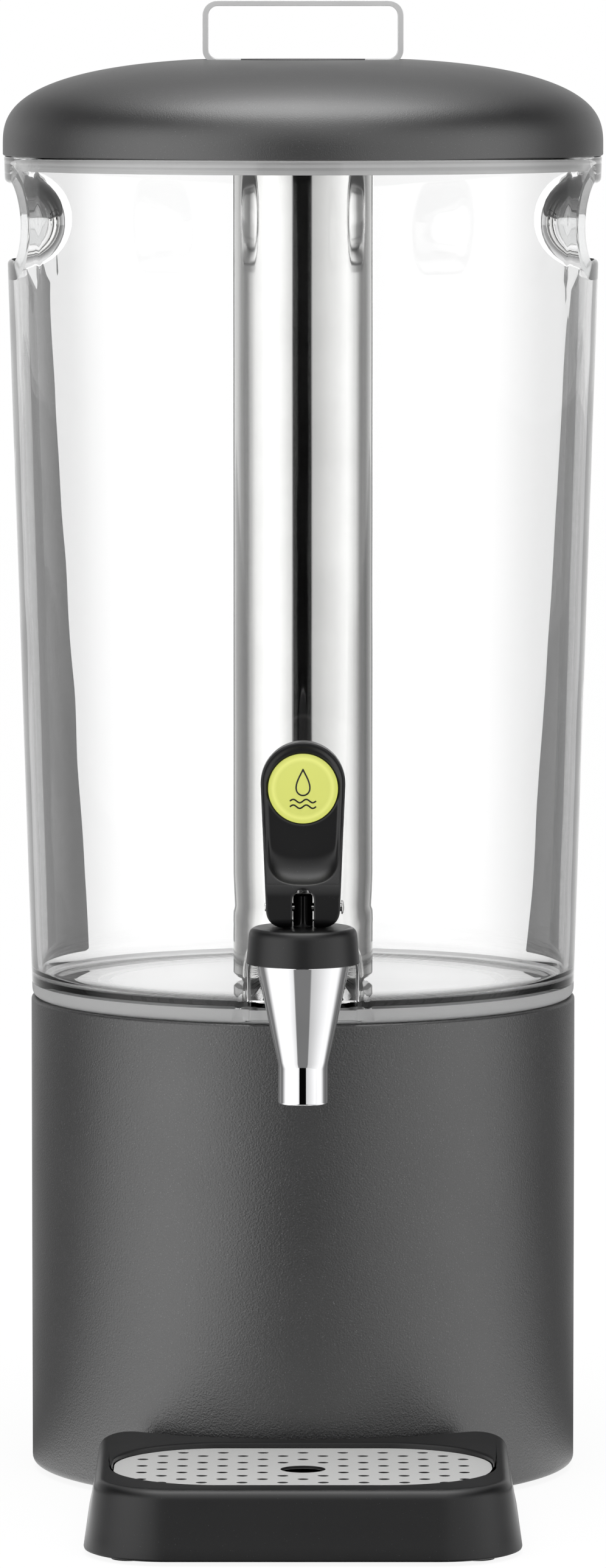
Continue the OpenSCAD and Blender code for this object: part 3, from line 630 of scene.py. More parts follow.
class DISPENSER_OT_base(bpy.types.Operator):
    """Build the round base with its recessed deck"""

    bl_idname = "dispenser.base"
    bl_label = "Base"

    def execute(self, context):
        s = context.scene.dispenser_base
        low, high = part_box("base_shell")
        r, foot, top = high[0], low[2], high[2]
        floor = top - s.recess_depth
        inner = r - s.wall
        path = rounded([
            (0.0, floor, 0.0), (s.recess, floor, 0.6 * MM), (s.recess, top, 0.6 * MM),
            (r, top, s.top_edge), (r, foot, s.foot_edge), (inner, foot, 0.6 * MM),
            (inner, top - s.deck, 0.6 * MM), (s.recess - s.wall, top - s.deck, 0.6 * MM),
            (s.recess - s.wall, floor - s.deck, 0.6 * MM), (0.0, floor - s.deck, 0.0),
        ])
        finished("base_body", turned(path), "base", "base_plastic", MATERIALS["base"], "base_shell")
        return {"FINISHED"}


# How far rows of faces stay close above the foot, and below and above the grips
PAD_ROWS, GRIP_ROWS = 43.0 * MM, (24.0 * MM, 21.5 * MM)
# How far the wall is opened below, above and to each side of a grip
GRIP_CUT = (23.5 * MM, 21.3 * MM, math.radians(27.0))
# How far the wall is opened above the foot and to each side of the tap pad
PAD_CUT = (42.8 * MM, math.radians(15.2))
# Heights of the pad's lower edge and of the opening above the foot, outside and inside
PAD_FOOT = {True: (1.8 * MM, 0.9 * MM), False: (7.8 * MM, 6.7 * MM)}


class DISPENSER_OT_container(bpy.types.Operator):
    """Build the clear container with its grips and tap pad"""

    bl_idname = "dispenser.container"
    bl_label = "Container"

    def execute(self, context):
        s = context.scene.dispenser_container
        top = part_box("container")[1][2]
        bm = turned(self.section(s, top), s.columns)
        for side in (-1, 1):
            self.grip(bm, s, side, True)
            self.grip(bm, s, side, False)
        outer = self.pad(bm, s, True)
        inner = self.pad(bm, s, False)
        bmesh.ops.bridge_loops(bm, edges=outer + inner)
        bmesh.ops.recalc_face_normals(bm, faces=bm.faces)
        clear = MATERIALS["clear"]
        finished("container_body", bm, "container", "clear_plastic", clear, "container", sharp=50, flat=False)
        return {"FINISHED"}

    def cone(self, s, z):
        """Radius of the outer cone at a height."""
        return s.foot + (z - s.foot_z) * s.taper

    def radius(self, s, z, outside):
        """Radius of the wall's outer or inner face, with its lower rounding."""
        start, e, thick = (s.foot_z, s.edge, 0.0) if outside else (s.foot_z + s.floor, s.fillet, s.wall)
        if z >= start + e:
            return self.cone(s, z) - thick
        drop = start + e - z
        return self.cone(s, start + e) - thick - e + math.sqrt(max(e * e - drop * drop, 0.0))

    def heights(self, s, start, end):
        """Heights of the wall's rows, closer at the pad and the grips."""
        pad, low, high = s.foot_z + PAD_ROWS, s.grip_z - GRIP_ROWS[0], s.grip_z + GRIP_ROWS[1]
        marks = [(start, pad, 5 * MM), (pad, low, 12.5 * MM), (low, high, 3.5 * MM), (high, end, 2 * MM)]
        rows = []
        for a, b, step in marks:
            parts = max(1, round((b - a) / step))
            rows += [a + (b - a) * k / parts for k in range(parts)]
        return rows + [end]

    def section(self, s, top):
        """Half section from the middle of the underside, round the wall, to the middle of the floor."""
        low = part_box("container")[0][2]
        floor = s.foot_z + s.floor
        foot = s.foot_z + s.edge
        path = rounded([
            (0.0, s.foot_z, 0.0), (s.ring_in, s.foot_z, 0.4 * MM), (s.ring_in, low, 0.4 * MM),
            (s.ring_out, low, 0.4 * MM), (s.ring_out, s.foot_z, 0.4 * MM),
            (s.ring_out + 2 * MM, s.foot_z, 0.0),
        ], 3)
        path += arc(self.cone(s, foot) - s.edge, foot, s.edge, -90, 0, 8)
        rows = self.heights(s, foot, top - s.rim_edge)
        path += [(self.cone(s, z), z) for z in rows[1:]]
        path += arc(self.cone(s, top) - s.rim_edge, top - s.rim_edge, s.rim_edge, 15, 90, 5)
        inner = self.cone(s, top) - s.wall
        path += arc(inner + s.rim_edge, top - s.rim_edge, s.rim_edge, 90, 165, 5)
        start = floor + s.fillet
        rows = self.heights(s, start, top - s.rim_edge)
        path += [(self.cone(s, z) - s.wall, z) for z in reversed(rows[1:])]
        path += arc(self.cone(s, start) - s.wall - s.fillet, start, s.fillet, 0, -90, 12)
        return path + [(45 * MM, floor), (0.0, floor)]

    def grip(self, bm, s, side, outside):
        """Lets one grip's hollow, or its bulge inside, into the wall."""
        r = s.grip_r if outside else s.grip_r + s.wall
        below, above, reach = GRIP_CUT

        def inside(p):
            middle = self.cone(s, p.z) - s.wall / 2
            turn = math.atan2(abs(p.y), p.x * side)
            near = -below < p.z - s.grip_z < above and turn < reach
            return near and (math.hypot(p.x, p.y) > middle) == outside

        def wall_x(y, z):
            return math.sqrt(self.radius(s, z, outside) ** 2 - y * y)

        track = []
        for way in (1, -1):
            track += [(way * s.grip_half * (2 * k / 22 - 1), 0.0, way) for k in range(22)]
            for k in range(30):
                a = math.pi * k / 30
                track.append((way * s.grip_half, way * math.sin(a), way * math.cos(a)))

        def lip(y0, uy, uz):
            def in_wall(a):
                y, z = y0 + uy * r * math.sin(a), s.grip_z + uz * r * math.sin(a)
                return s.grip_x - r * math.cos(a) < wall_x(y, z)

            return crossing(math.radians(30), math.radians(150), in_wall)

        lips = [lip(*t) for t in track]

        def on_wall(more):
            points = []
            for (y0, uy, uz), a in zip(track, lips):
                rho = r * math.sin(min(a, math.pi / 2)) + more
                y, z = y0 + uy * rho, s.grip_z + uz * rho
                points.append((side * wall_x(y, z), y, z))
            return points

        def in_hollow(part):
            points = []
            for (y0, uy, uz), a in zip(track, lips):
                turn = (a - s.grip_lip / r) * part
                rho = r * math.sin(turn)
                points.append((side * (s.grip_x - r * math.cos(turn)), y0 + uy * rho, s.grip_z + uz * rho))
            return points

        def between(a, b, corner):
            """Two rings that round the lip from the wall to the hollow."""
            rows = list(zip(a, corner, b))
            return [[bent(*(Vector(p) for p in row), t) for row in rows] for t in (0.33, 0.67)]

        edge, start = on_wall(s.grip_lip), in_hollow(1.0)
        loops = [on_wall(3.2 * MM), edge, *between(edge, start, on_wall(0.0)), start]
        loops += [in_hollow(k / 9) for k in range(8, 0, -1)]
        rim = opened(bm, inside)
        rings = [rim] + [ring_of(bm, points) for points in loops]
        bridged(bm, rings)
        capped(bm, rings[-1])

    def pad(self, bm, s, outside):
        """Lets the flat tap pad into one face of the wall and returns the ring of its hole."""
        face = s.pad_face if outside else s.pad_inner
        foot, lowest = (s.foot_z + up for up in PAD_FOOT[outside])
        above, reach = PAD_CUT

        def inside(p):
            middle = (self.radius(s, p.z, True) + self.radius(s, max(p.z, s.foot_z + s.floor), False)) / 2
            turn = abs(math.atan2(p.x, -p.y))
            near = lowest < p.z < s.foot_z + above and turn < reach
            return near and (math.hypot(p.x, p.y) > middle) == outside

        def outline(more):
            w = s.pad_half + more
            low = max(foot - more, lowest + 0.5 * MM)
            points = [(-w + 2 * w * k / 14, low) for k in range(14)]
            points += [(w, low + (s.pad_z - low) * k / 8) for k in range(8)]
            points += arc(0.0, s.pad_z, w, 0, 180, 34)[:-1]
            return points + [(-w, s.pad_z + (low - s.pad_z) * k / 8) for k in range(8)]

        def wall_ring(more):
            return [(x, -math.sqrt(self.radius(s, z, outside) ** 2 - x * x), z) for x, z in outline(more)]

        def flat_ring(more, y):
            return [(x, -y, z) for x, z in outline(more)]

        step = 0.35 * MM * (1 if outside else -1)
        loops = [wall_ring(2.4 * MM), wall_ring(0.7 * MM)]
        low, high = wall_ring(0.2 * MM), flat_ring(-0.1 * MM, face - step)
        loops.append([Vector(a).lerp(Vector(b), 0.3) for a, b in zip(low, high)])
        loops += [high, flat_ring(-0.3 * MM, face - step * 0.3), flat_ring(-0.75 * MM, face)]
        hole = [(x, -face, z) for x, z in arc(0.0, s.pad_z, s.hole, 0, 360, 64)[:-1]]
        rim = opened(bm, inside)
        rings = [rim] + [ring_of(bm, points) for points in loops + [hole]]
        bridged(bm, rings)
        return rings[-1]


class DISPENSER_OT_lid(bpy.types.Operator):
    """Build the domed lid and its strip handle"""

    bl_idname = "dispenser.lid"
    bl_label = "Lid"

    def execute(self, context):
        s = context.scene.dispenser_lid
        low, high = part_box("lid_shell")
        outside = self.dome(s, high[0], low[2], high[2], 0.0)
        inside = self.dome(s, high[0], low[2], high[2], s.wall)
        floor = high[2] - s.dish_depth
        dish = rounded([
            (outside[-1][0], high[2], 0.0), (s.dish, high[2], s.edge),
            (s.dish, floor, s.edge * 0.6), (0.0, floor, 0.0),
        ])
        path = [(0.0, floor - s.wall)] + inside[::-1] + outside + dish[1:]
        finished("lid_dome", turned(path, 256), "lid", "lid_plastic", MATERIALS["lid"], "lid_shell")
        strip = softened("lid_handle", s.handle_edge)
        finished("handle_strip", strip, "lid", "steel", MATERIALS["handle"], "lid_handle")
        return {"FINISHED"}

    def dome(self, s, r, foot, top, inset):
        """Points of the dome's section from the rim to the flat top."""
        a, b, start = r - inset, s.rise - inset, foot + s.band
        points = [(a - 0.4 * MM, foot), (a, foot + 0.4 * MM)]
        limit = top - (s.dish_depth + inset if inset else 0.0)
        for k in range(91):
            t = math.radians(k)
            x, z = a * math.cos(t) ** (2 / s.power), start + b * math.sin(t) ** (2 / s.power)
            if z > limit - 0.05 * MM:
                break
            points.append((x, z))
        last = a * (1 - ((limit - start) / b) ** s.power) ** (1 / s.power) if limit < start + b else 0.0
        return points + [(last, limit)]


class DISPENSER_OT_tube(bpy.types.Operator):
    """Build the polished ice tube"""

    bl_idname = "dispenser.tube"
    bl_label = "Ice tube"

    def execute(self, context):
        low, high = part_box("ice_tube")
        r, wall, chamfer = high[0], 1.2 * MM, 1.5 * MM
        floor = low[2] + chamfer + wall
        path = rounded([
            (0.0, low[2], 0.0), (r - chamfer, low[2], 0.35 * MM), (r, low[2] + chamfer, 0.35 * MM),
            (r, high[2], 0.2 * MM), (r - wall, high[2], 0.2 * MM),
            (r - wall, floor, 0.5 * MM), (0.0, floor, 0.0),
        ], 4)
        finished("tube_steel", turned(path), "ice_tube", "polished_steel", MATERIALS["polished"], "ice_tube")
        return {"FINISHED"}


class DISPENSER_OT_tap(bpy.types.Operator):
    """Build the tap's body, bonnet, lever, badge, pin, spring and nut"""

    bl_idname = "dispenser.tap"
    bl_label = "Tap"

    def execute(self, context):
        s = context.scene.dispenser_tap
        self.body(s)
        self.bonnet(s)
        self.lever(s)
        self.badge(s)
        self.pivot(s)
        self.spring(s)
        softer = softened("shank_nut", 0.5 * MM)
        finished("nut_soft", softer, "container", "black_plastic", MATERIALS["black"], "shank_nut")
        return {"FINISHED"}

    def body(self, s):
        """Turned outlet and cone, and the flanged, threaded shank."""
        low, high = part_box("tap_body")
        upright = Matrix.Translation((0.0, s.y, 0.0))
        cone = rounded([
            (s.outlet_bore, s.seat_z, 0.0), (s.outlet_bore, low[2], 0.4 * MM), (s.outlet, low[2], 0.7 * MM),
            (s.outlet, s.cone_z, 1.0 * MM), (s.cone, s.cone_top, 0.6 * MM), (s.neck, s.cone_top, 0.2 * MM),
            (s.neck, high[2], 0.5 * MM), (s.chamber, high[2], 0.4 * MM), (s.chamber, s.seat_z, 0.3 * MM),
            (s.outlet_bore, s.seat_z, 0.0),
        ])
        skin = placed(turned(cone), upright)
        finished("tap_cone", skin, "container", "chrome", MATERIALS["chrome"], "tap_body")
        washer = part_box("outer_washer")[0][1]
        wall, thick = 1.5 * MM, 4.0 * MM
        start, end, flange = s.y + s.chamber + wall, high[1], washer - thick
        path = [
            (s.bore, start, 0.0), (s.shank, start, 0.0), (s.shank, flange, 0.8 * MM),
            (s.flange, flange, 0.7 * MM), (s.flange, washer, 0.3 * MM), (s.shank, washer, 0.0),
        ]
        turns = int((end - washer - 1.0 * MM) / s.thread)
        for k in range(turns):
            y = washer + k * s.thread
            path += [
                (s.shank, y + 0.2 * s.thread, 0.0), (s.shank - s.thread_deep, y + 0.55 * s.thread, 0.1 * MM),
                (s.shank, y + 0.9 * s.thread, 0.0),
            ]
        path += [
            (s.shank, end - 0.8 * MM, 0.0), (s.shank - 0.8 * MM, end, 0.2 * MM), (s.bore, end, 0.3 * MM),
            (s.bore, start, 0.0),
        ]
        lying = Matrix.Translation((0.0, 0.0, s.shank_z)) @ Matrix.Rotation(math.radians(-90), 4, "X")
        shank = placed(turned(rounded(path, 3), 96), lying)
        finished("tap_shank", shank, "container", "chrome", MATERIALS["chrome"], "tap_body", sharp=30)

    def bonnet(self, s):
        """Turned bonnet with a soft shoulder."""
        low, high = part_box("tap_bonnet")
        r, foot, top = high[0], low[2], high[2]
        roof, thread, draft = top - 3.0 * MM, s.neck + 0.05 * MM, 1.1 * MM
        path = rounded([
            (s.stem_hole, roof, 0.0), (thread, roof, 0.3 * MM), (thread, foot, 0.3 * MM),
            (r, foot, 0.5 * MM), (r - draft, top, s.shoulder),
            (s.stem_hole, top, 0.4 * MM), (s.stem_hole, roof, 0.0),
        ], 10)
        skin = placed(turned(path), Matrix.Translation((0.0, s.y, 0.0)))
        finished("bonnet_cap", skin, "container", "black_plastic", MATERIALS["black"], "tap_bonnet")

    def lever(self, s):
        """Paddle lever with a dished face, its edges softened by a fine remesh."""
        bm = bmesh.new()
        bm.from_mesh(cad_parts["tap_lever"].data)
        self.filling(bm, s)
        cleaned(bm)
        source = linked("lever_source", mesh_of(bm, "lever_source"))
        voxels = source.modifiers.new("Voxels", "REMESH")
        voxels.mode, voxels.voxel_size = "VOXEL", s.lever_voxel
        ease = source.modifiers.new("Ease", "SMOOTH")
        ease.factor, ease.iterations = 0.5, s.lever_ease
        plain = baked(source, "lever_plain")
        bm = bmesh.new()
        bm.from_mesh(plain)
        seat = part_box("lever_badge")[1][0] + 0.5 * MM
        start, behind, fade = 4.5 * MM, 3.0 * MM, 2.2 * MM
        for v in bm.verts:
            up, ahead = v.co.z - s.pin_z, s.y - v.co.y
            if up > start:
                front = min(self.swept(s, up), s.block)
                near = smooth_step((ahead - front + behind) / fade)
                v.co.y += near * (front - self.face(s, v.co.x, up, seat))
        axes = {"use_axis_x": True, "use_axis_y": True, "use_axis_z": True}
        for _ in range(2):
            bmesh.ops.smooth_vert(bm, verts=bm.verts, factor=0.5, **axes)
        bpy.data.meshes.remove(plain)
        black = MATERIALS["black"]
        finished("lever_paddle", bm, "lever", "black_plastic", black, "tap_lever", sharp=180, flat=False)

    def filling(self, bm, s):
        """Fills the lever's dish, so that a softer one can be pressed in."""
        foot, span, rows = 7.6 * MM, s.lever_top + s.lever_r - 8.8 * MM, 64
        side, skin = 0.9 * MM, 0.02 * MM
        rings = []
        for k in range(rows + 1):
            up = foot + k / rows * span
            half = self.half_width(s, up) - side
            front = s.y - min(self.swept(s, up), s.block) + skin
            plan = [(-half, front), (half, front), (half, s.y), (-half, s.y)]
            rings.append(ring_of(bm, [(x, y, s.pin_z + up) for x, y in plan]))
        bridged(bm, rings)
        capped(bm, rings[0])
        capped(bm, rings[-1])

    def half_width(self, s, up):
        """Half width of the lever at a height above its pin."""
        least = 1.2 * MM
        if up > s.lever_top:
            return math.sqrt(max(s.lever_r**2 - (up - s.lever_top) ** 2, least**2))
        return s.lever_low + (s.lever_r - s.lever_low) * (up + s.lever_foot) / (s.lever_top + s.lever_foot)

    def swept(self, s, up):
        """How far the rim lies in front of the pin, with its sweep towards the block."""
        drop = max(s.sweep_z - up, 0.0)
        return s.rim_face + s.sweep - math.sqrt(max(s.sweep**2 - drop**2, 0.0))

    def face(self, s, x, up, seat):
        """How far the finished front face lies in front of the pin, with a seat for the badge."""
        ease, wall, power = 4.0 * MM, 0.8 * MM, 2.6
        deep, edge = 0.6 * MM, 0.4 * MM
        sweep = self.swept(s, up)
        bend = max(ease - abs(sweep - s.block), 0.0)
        rim = min(sweep, s.block) - bend * bend / (4 * ease)
        if up > s.lever_top:
            inside = s.lever_r - s.rim_wide - math.hypot(x, up - s.lever_top)
        else:
            inside = self.half_width(s, up) - s.rim_wide - abs(x)
        wide = self.half_width(s, s.dish_side) - s.rim_wide
        curve = max(1 - abs(x / wide) ** power, 0.0) ** (1 / power)
        above = up - s.dish_side + (s.dish_side - s.dish_low) * curve
        left = min(max(s.scoop - above, 0.0), s.scoop)
        dish = s.dish + s.scoop - math.sqrt(s.scoop**2 - left**2)
        face = rim - max(rim - dish, 0.0) * smooth_step(inside / wall)
        away = math.hypot(x, s.pin_z + up - s.badge_z)
        return face - deep * smooth_step((seat - away) / edge)

    def pivot(self, s):
        """Pin with a domed head on one side."""
        low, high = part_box("pivot_pin")
        thick, brim = 1.0 * MM, 0.3 * MM
        head, start = high[2] - s.pin_z, high[0] - thick
        edge = start + brim
        path = rounded([
            (0.0, low[0], 0.0), (s.pin, low[0], 0.4 * MM), (s.pin, start, 0.0),
            (head, start, 0.15 * MM), (head, edge, 0.0),
        ], 3)
        for k in range(1, 10):
            a = math.pi / 2 * k / 10
            path.append((head * math.cos(a), edge + (high[0] - edge) * math.sin(a)))
        path.append((0.0, high[0]))
        lying = Matrix.Translation((0.0, s.y, s.pin_z)) @ Matrix.Rotation(math.radians(90), 4, "Y")
        skin = placed(turned(path, 64), lying)
        finished("pin_head", skin, "stem", "steel", MATERIALS["polished"], "pivot_pin")

    def badge(self, s):
        """Domed badge with a plain drop and two waves."""
        low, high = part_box("lever_badge")
        r = high[0]
        back, face = high[1], low[1]
        path = [(0.0, 0.0), (r, 0.0), (r, back - face - 0.25 * MM)]
        for k in range(23, -1, -1):
            part = math.sin(math.pi / 2 * k / 24)
            path.append((r * part, back - face - s.badge_dome + self.bulge(s, part)))
        lying = Matrix.Translation((0.0, back, s.badge_z)) @ Matrix.Rotation(math.radians(90), 4, "X")
        skin = placed(turned(path, 128), lying)
        finished("badge_disc", skin, "lever", "lime_plastic", MATERIALS["lime"], "lever_badge")
        self.motif(s, r, face)

    def bulge(self, s, part):
        """Height of the badge's dome at a share of its radius."""
        return s.badge_dome * (1 - part * part)

    def motif(self, s, r, face):
        """Thin raised lines on the badge: a drop outline over two waves."""
        middle, high, wide, point_power = 2.2 * MM, 4.6 * MM, 3.4 * MM, 1.4
        half, swing, heights = 4.6 * MM, 0.6 * MM, (-4.4 * MM, -6.4 * MM)
        thick, proud = 0.32 * MM, 0.14 * MM
        drop = []
        for k in range(48):
            a = math.tau * k / 48
            x = wide * math.sin(a) * math.sin(a / 2) ** point_power
            drop.append((x, middle + high * math.cos(a)))
        lines = [(drop, True)]
        for z in heights:
            wave = [(half * (k / 16 - 1), z + swing * math.sin(math.tau * k / 16)) for k in range(33)]
            lines.append((wave, False))
        data = bpy.data.curves.new("drop_lines", "CURVE")
        data.dimensions, data.bevel_depth, data.bevel_resolution = "3D", thick, 3
        data.use_fill_caps = True
        for line, closed in lines:
            spline = data.splines.new("POLY")
            spline.points.add(len(line) - 1)
            spline.use_cyclic_u = closed
            for point, (x, z) in zip(spline.points, line):
                part = math.hypot(x, z) / r
                y = face + s.badge_dome - self.bulge(s, part) + proud
                point.co = (x, y, s.badge_z + z, 1.0)
        lines = baked(linked("drop_source", data), "drop_lines")
        piece_of(lines, "lever", "black_plastic", MATERIALS["gloss"])

    def spring(self, s):
        """Closely wound return spring."""
        low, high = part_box("return_spring")
        r = s.wire / 2
        rise = high[2] - low[2] - s.wire
        steps = 40 * s.coils
        bm = bmesh.new()
        place = Matrix.Translation((s.coil, 0.0, 0.0)) @ Matrix.Rotation(math.radians(90), 4, "X")
        ring = bmesh.ops.create_circle(bm, cap_ends=True, segments=12, radius=r, matrix=place)
        geom = ring["verts"] + list(bm.edges) + list(bm.faces)
        bmesh.ops.spin(
            bm, geom=geom, cent=(0, 0, 0), axis=(0, 0, 1), dvec=(0, 0, rise / steps),
            angle=math.tau * s.coils, steps=steps, use_duplicate=False,
        )
        cleaned(bm)
        placed(bm, Matrix.Translation((0.0, s.y, low[2] + r)))
        spring = finished("spring_coil", bm, "stem", "steel", MATERIALS["steel"], "return_spring")
        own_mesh(spring)


class DISPENSER_OT_tray(bpy.types.Operator):
    """Build the drip tray and its perforated grid"""

    bl_idname = "dispenser.tray"
    bl_label = "Drip tray"

    def execute(self, context):
        s = context.scene.dispenser_tray
        low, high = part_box("drip_tray")
        foot, top = low[2], high[2]
        bm = bmesh.new()
        levels = [(1.0 * MM, foot), (0.25 * MM, foot + 0.3 * MM), (0.0, foot + 1.0 * MM)]
        side = top - s.edge
        levels += [(s.draft * k / 4, foot + (side - foot) * k / 4) for k in range(1, 5)]
        for k in range(1, 9):
            a = math.radians(90 * k / 8)
            levels.append((s.draft + s.edge * (1 - math.cos(a)), side + s.edge * math.sin(a)))
        rings = [ring_of(bm, [(x, y, z) for x, y in self.outline(s, inset)]) for inset, z in levels]
        capped(bm, rings[0])
        lip, wall = s.lip, s.ledge
        seat = [
            (-lip, top), (-0.3 * lip, top - 0.3 * lip), (0.0, top - lip),
            (0.0, s.seat_z + 0.2 * MM), (0.2 * MM, s.seat_z),
            (wall - 0.4 * MM, s.seat_z), (wall, s.seat_z - 0.4 * MM), (wall + 0.6 * MM, s.basin_z + 3 * MM),
            (wall + 1.5 * MM, s.basin_z + 0.9 * MM), (wall + 3.6 * MM, s.basin_z),
        ]
        rings += [ring_of(bm, [(x, y, z) for x, y in self.seat(s, inset)]) for inset, z in seat]
        bridged(bm, rings)
        capped(bm, rings[-1])
        cleaned(bm)
        finished("tray_shell", bm, "tray", "black_plastic", MATERIALS["black"], "drip_tray", sharp=35)
        grid = softened("drip_grid", s.grid_edge)
        finished("grid_plate", grid, "grid", "grid_steel", MATERIALS["grid"], "drip_grid")
        return {"FINISHED"}

    def outline(self, s, inset):
        """Plan of the tray drawn in by inset, from the middle of its front to the right and round."""
        r, x0 = s.corner - inset, s.half - s.corner
        front, rear = -s.front + s.corner, -s.back - s.corner
        hollow = s.hollow + inset

        def rear_point(a):
            return Vector((x0 + r * math.cos(a), rear + r * math.sin(a)))

        def bow(*values):
            return [Vector(p) for p in arc(*values)[:-1]]

        meeting = crossing(0.0, math.pi / 2, lambda a: rear_point(a).length > hollow)
        tip = rear_point(meeting)
        before = meeting - s.tip / r
        after = math.atan2(tip.y, tip.x) - s.tip / hollow
        start, end = rear_point(before), Vector((hollow * math.cos(after), hollow * math.sin(after)))
        right = [Vector((x0 * k / 12, -s.front + inset)) for k in range(12)]
        right += bow(x0, front, r, -90, 0, 16)
        right += [Vector((s.half - inset, front + (rear - front) * k / 14)) for k in range(14)]
        right += bow(x0, rear, r, 0, math.degrees(before), 10)
        right += [bent(start, tip, end, k / 8) for k in range(8)]
        right += bow(0.0, 0.0, hollow, math.degrees(after), -90, 24)
        left = [Vector((-p.x, p.y)) for p in reversed(right[1:])]
        return [tuple(p) for p in right] + [(0.0, -hollow)] + [tuple(p) for p in left]

    def seat(self, s, inset):
        """Rounded plan of the grid's seat drawn in by inset."""
        w, d, r = s.grid_half_x - inset, s.grid_half_y - inset, max(s.grid_corner - inset, 1 * MM)
        points = []
        for quarter in range(4):
            cx = (w - r) * (1 if quarter in (0, 3) else -1)
            cy = (d - r) * (1 if quarter in (0, 1) else -1)
            for k in range(24):
                a = math.pi / 2 * (quarter + k / 24)
                points.append((cx + r * math.cos(a), -s.grid_y + cy + r * math.sin(a)))
        return points


# Studio

# Strengths of walls and floor by direction in degrees from the front, and the most they may reach
MOST = 2.0
WALLS = (
    (-180, 0.85), (-165, 0.8), (-136, 0.7), (-122, 0.32), (-104, 0.17), (-95, 0.6), (-88, 1.0),
    (-78, 1.3), (-66, 1.6), (-50, 1.7), (-35, 1.4), (-26, 1.15), (-18.5, 0.95), (-16.5, 0.002),
    (13.5, 0.002), (15.5, 0.72), (30, 0.85), (47, 1.05), (62, 1.25), (78, 1.4), (88, 1.2),
    (98, 0.8), (106, 0.35), (112, 0.25), (126, 0.25), (148, 0.75), (165, 0.8), (180, 0.85),
)
FLOOR = (
    (-180, 1.0), (-165, 0.85), (-140, 0.4), (-118, 0.2), (-104, 0.2), (-94, 0.6), (-84, 1.1),
    (-66, 1.5), (-50, 1.6), (-30, 1.15), (-18.5, 0.9), (-16.5, 0.2), (14.5, 0.2), (16.5, 0.6),
    (30, 0.75), (50, 1.0), (66, 1.15), (80, 1.25), (90, 1.0), (98, 0.6), (106, 0.25),
    (126, 0.12), (148, 0.45), (165, 0.85), (180, 1.0),
)
# Heights between which the walls fade, and how far the fade sinks towards the back
WALL_FADE, WALL_LEAN = (math.radians(10), math.radians(40)), 0.06
# Stretch, middle and fading edge of the soft light overhead, and the height at which it is full
ROOF_STRETCH, ROOF_MIDDLE, ROOF_FADE = (1.5, 1.0, 0.0), (0.0, -0.1, 0.0), (0.45, 1.05)
ROOF_FULL = math.radians(8)
FLOOR_PLACE, FLOOR_SIZE = (0.0, 2.6, -0.0002), (9.0, 6.7)
FLOOR_TINT, FLOOR_GLOW, FLOOR_SHARE = (0.88, 0.88, 0.88, 1.0), 1.03, 0.88
# Distance, height and half width of the flats, and how much brighter mirrors show them
FLAT_BACK, FLAT_HIGH, FLAT_WIDE, FLAT_MIRRORED = 1.0, 1.6, 0.5, 1.5


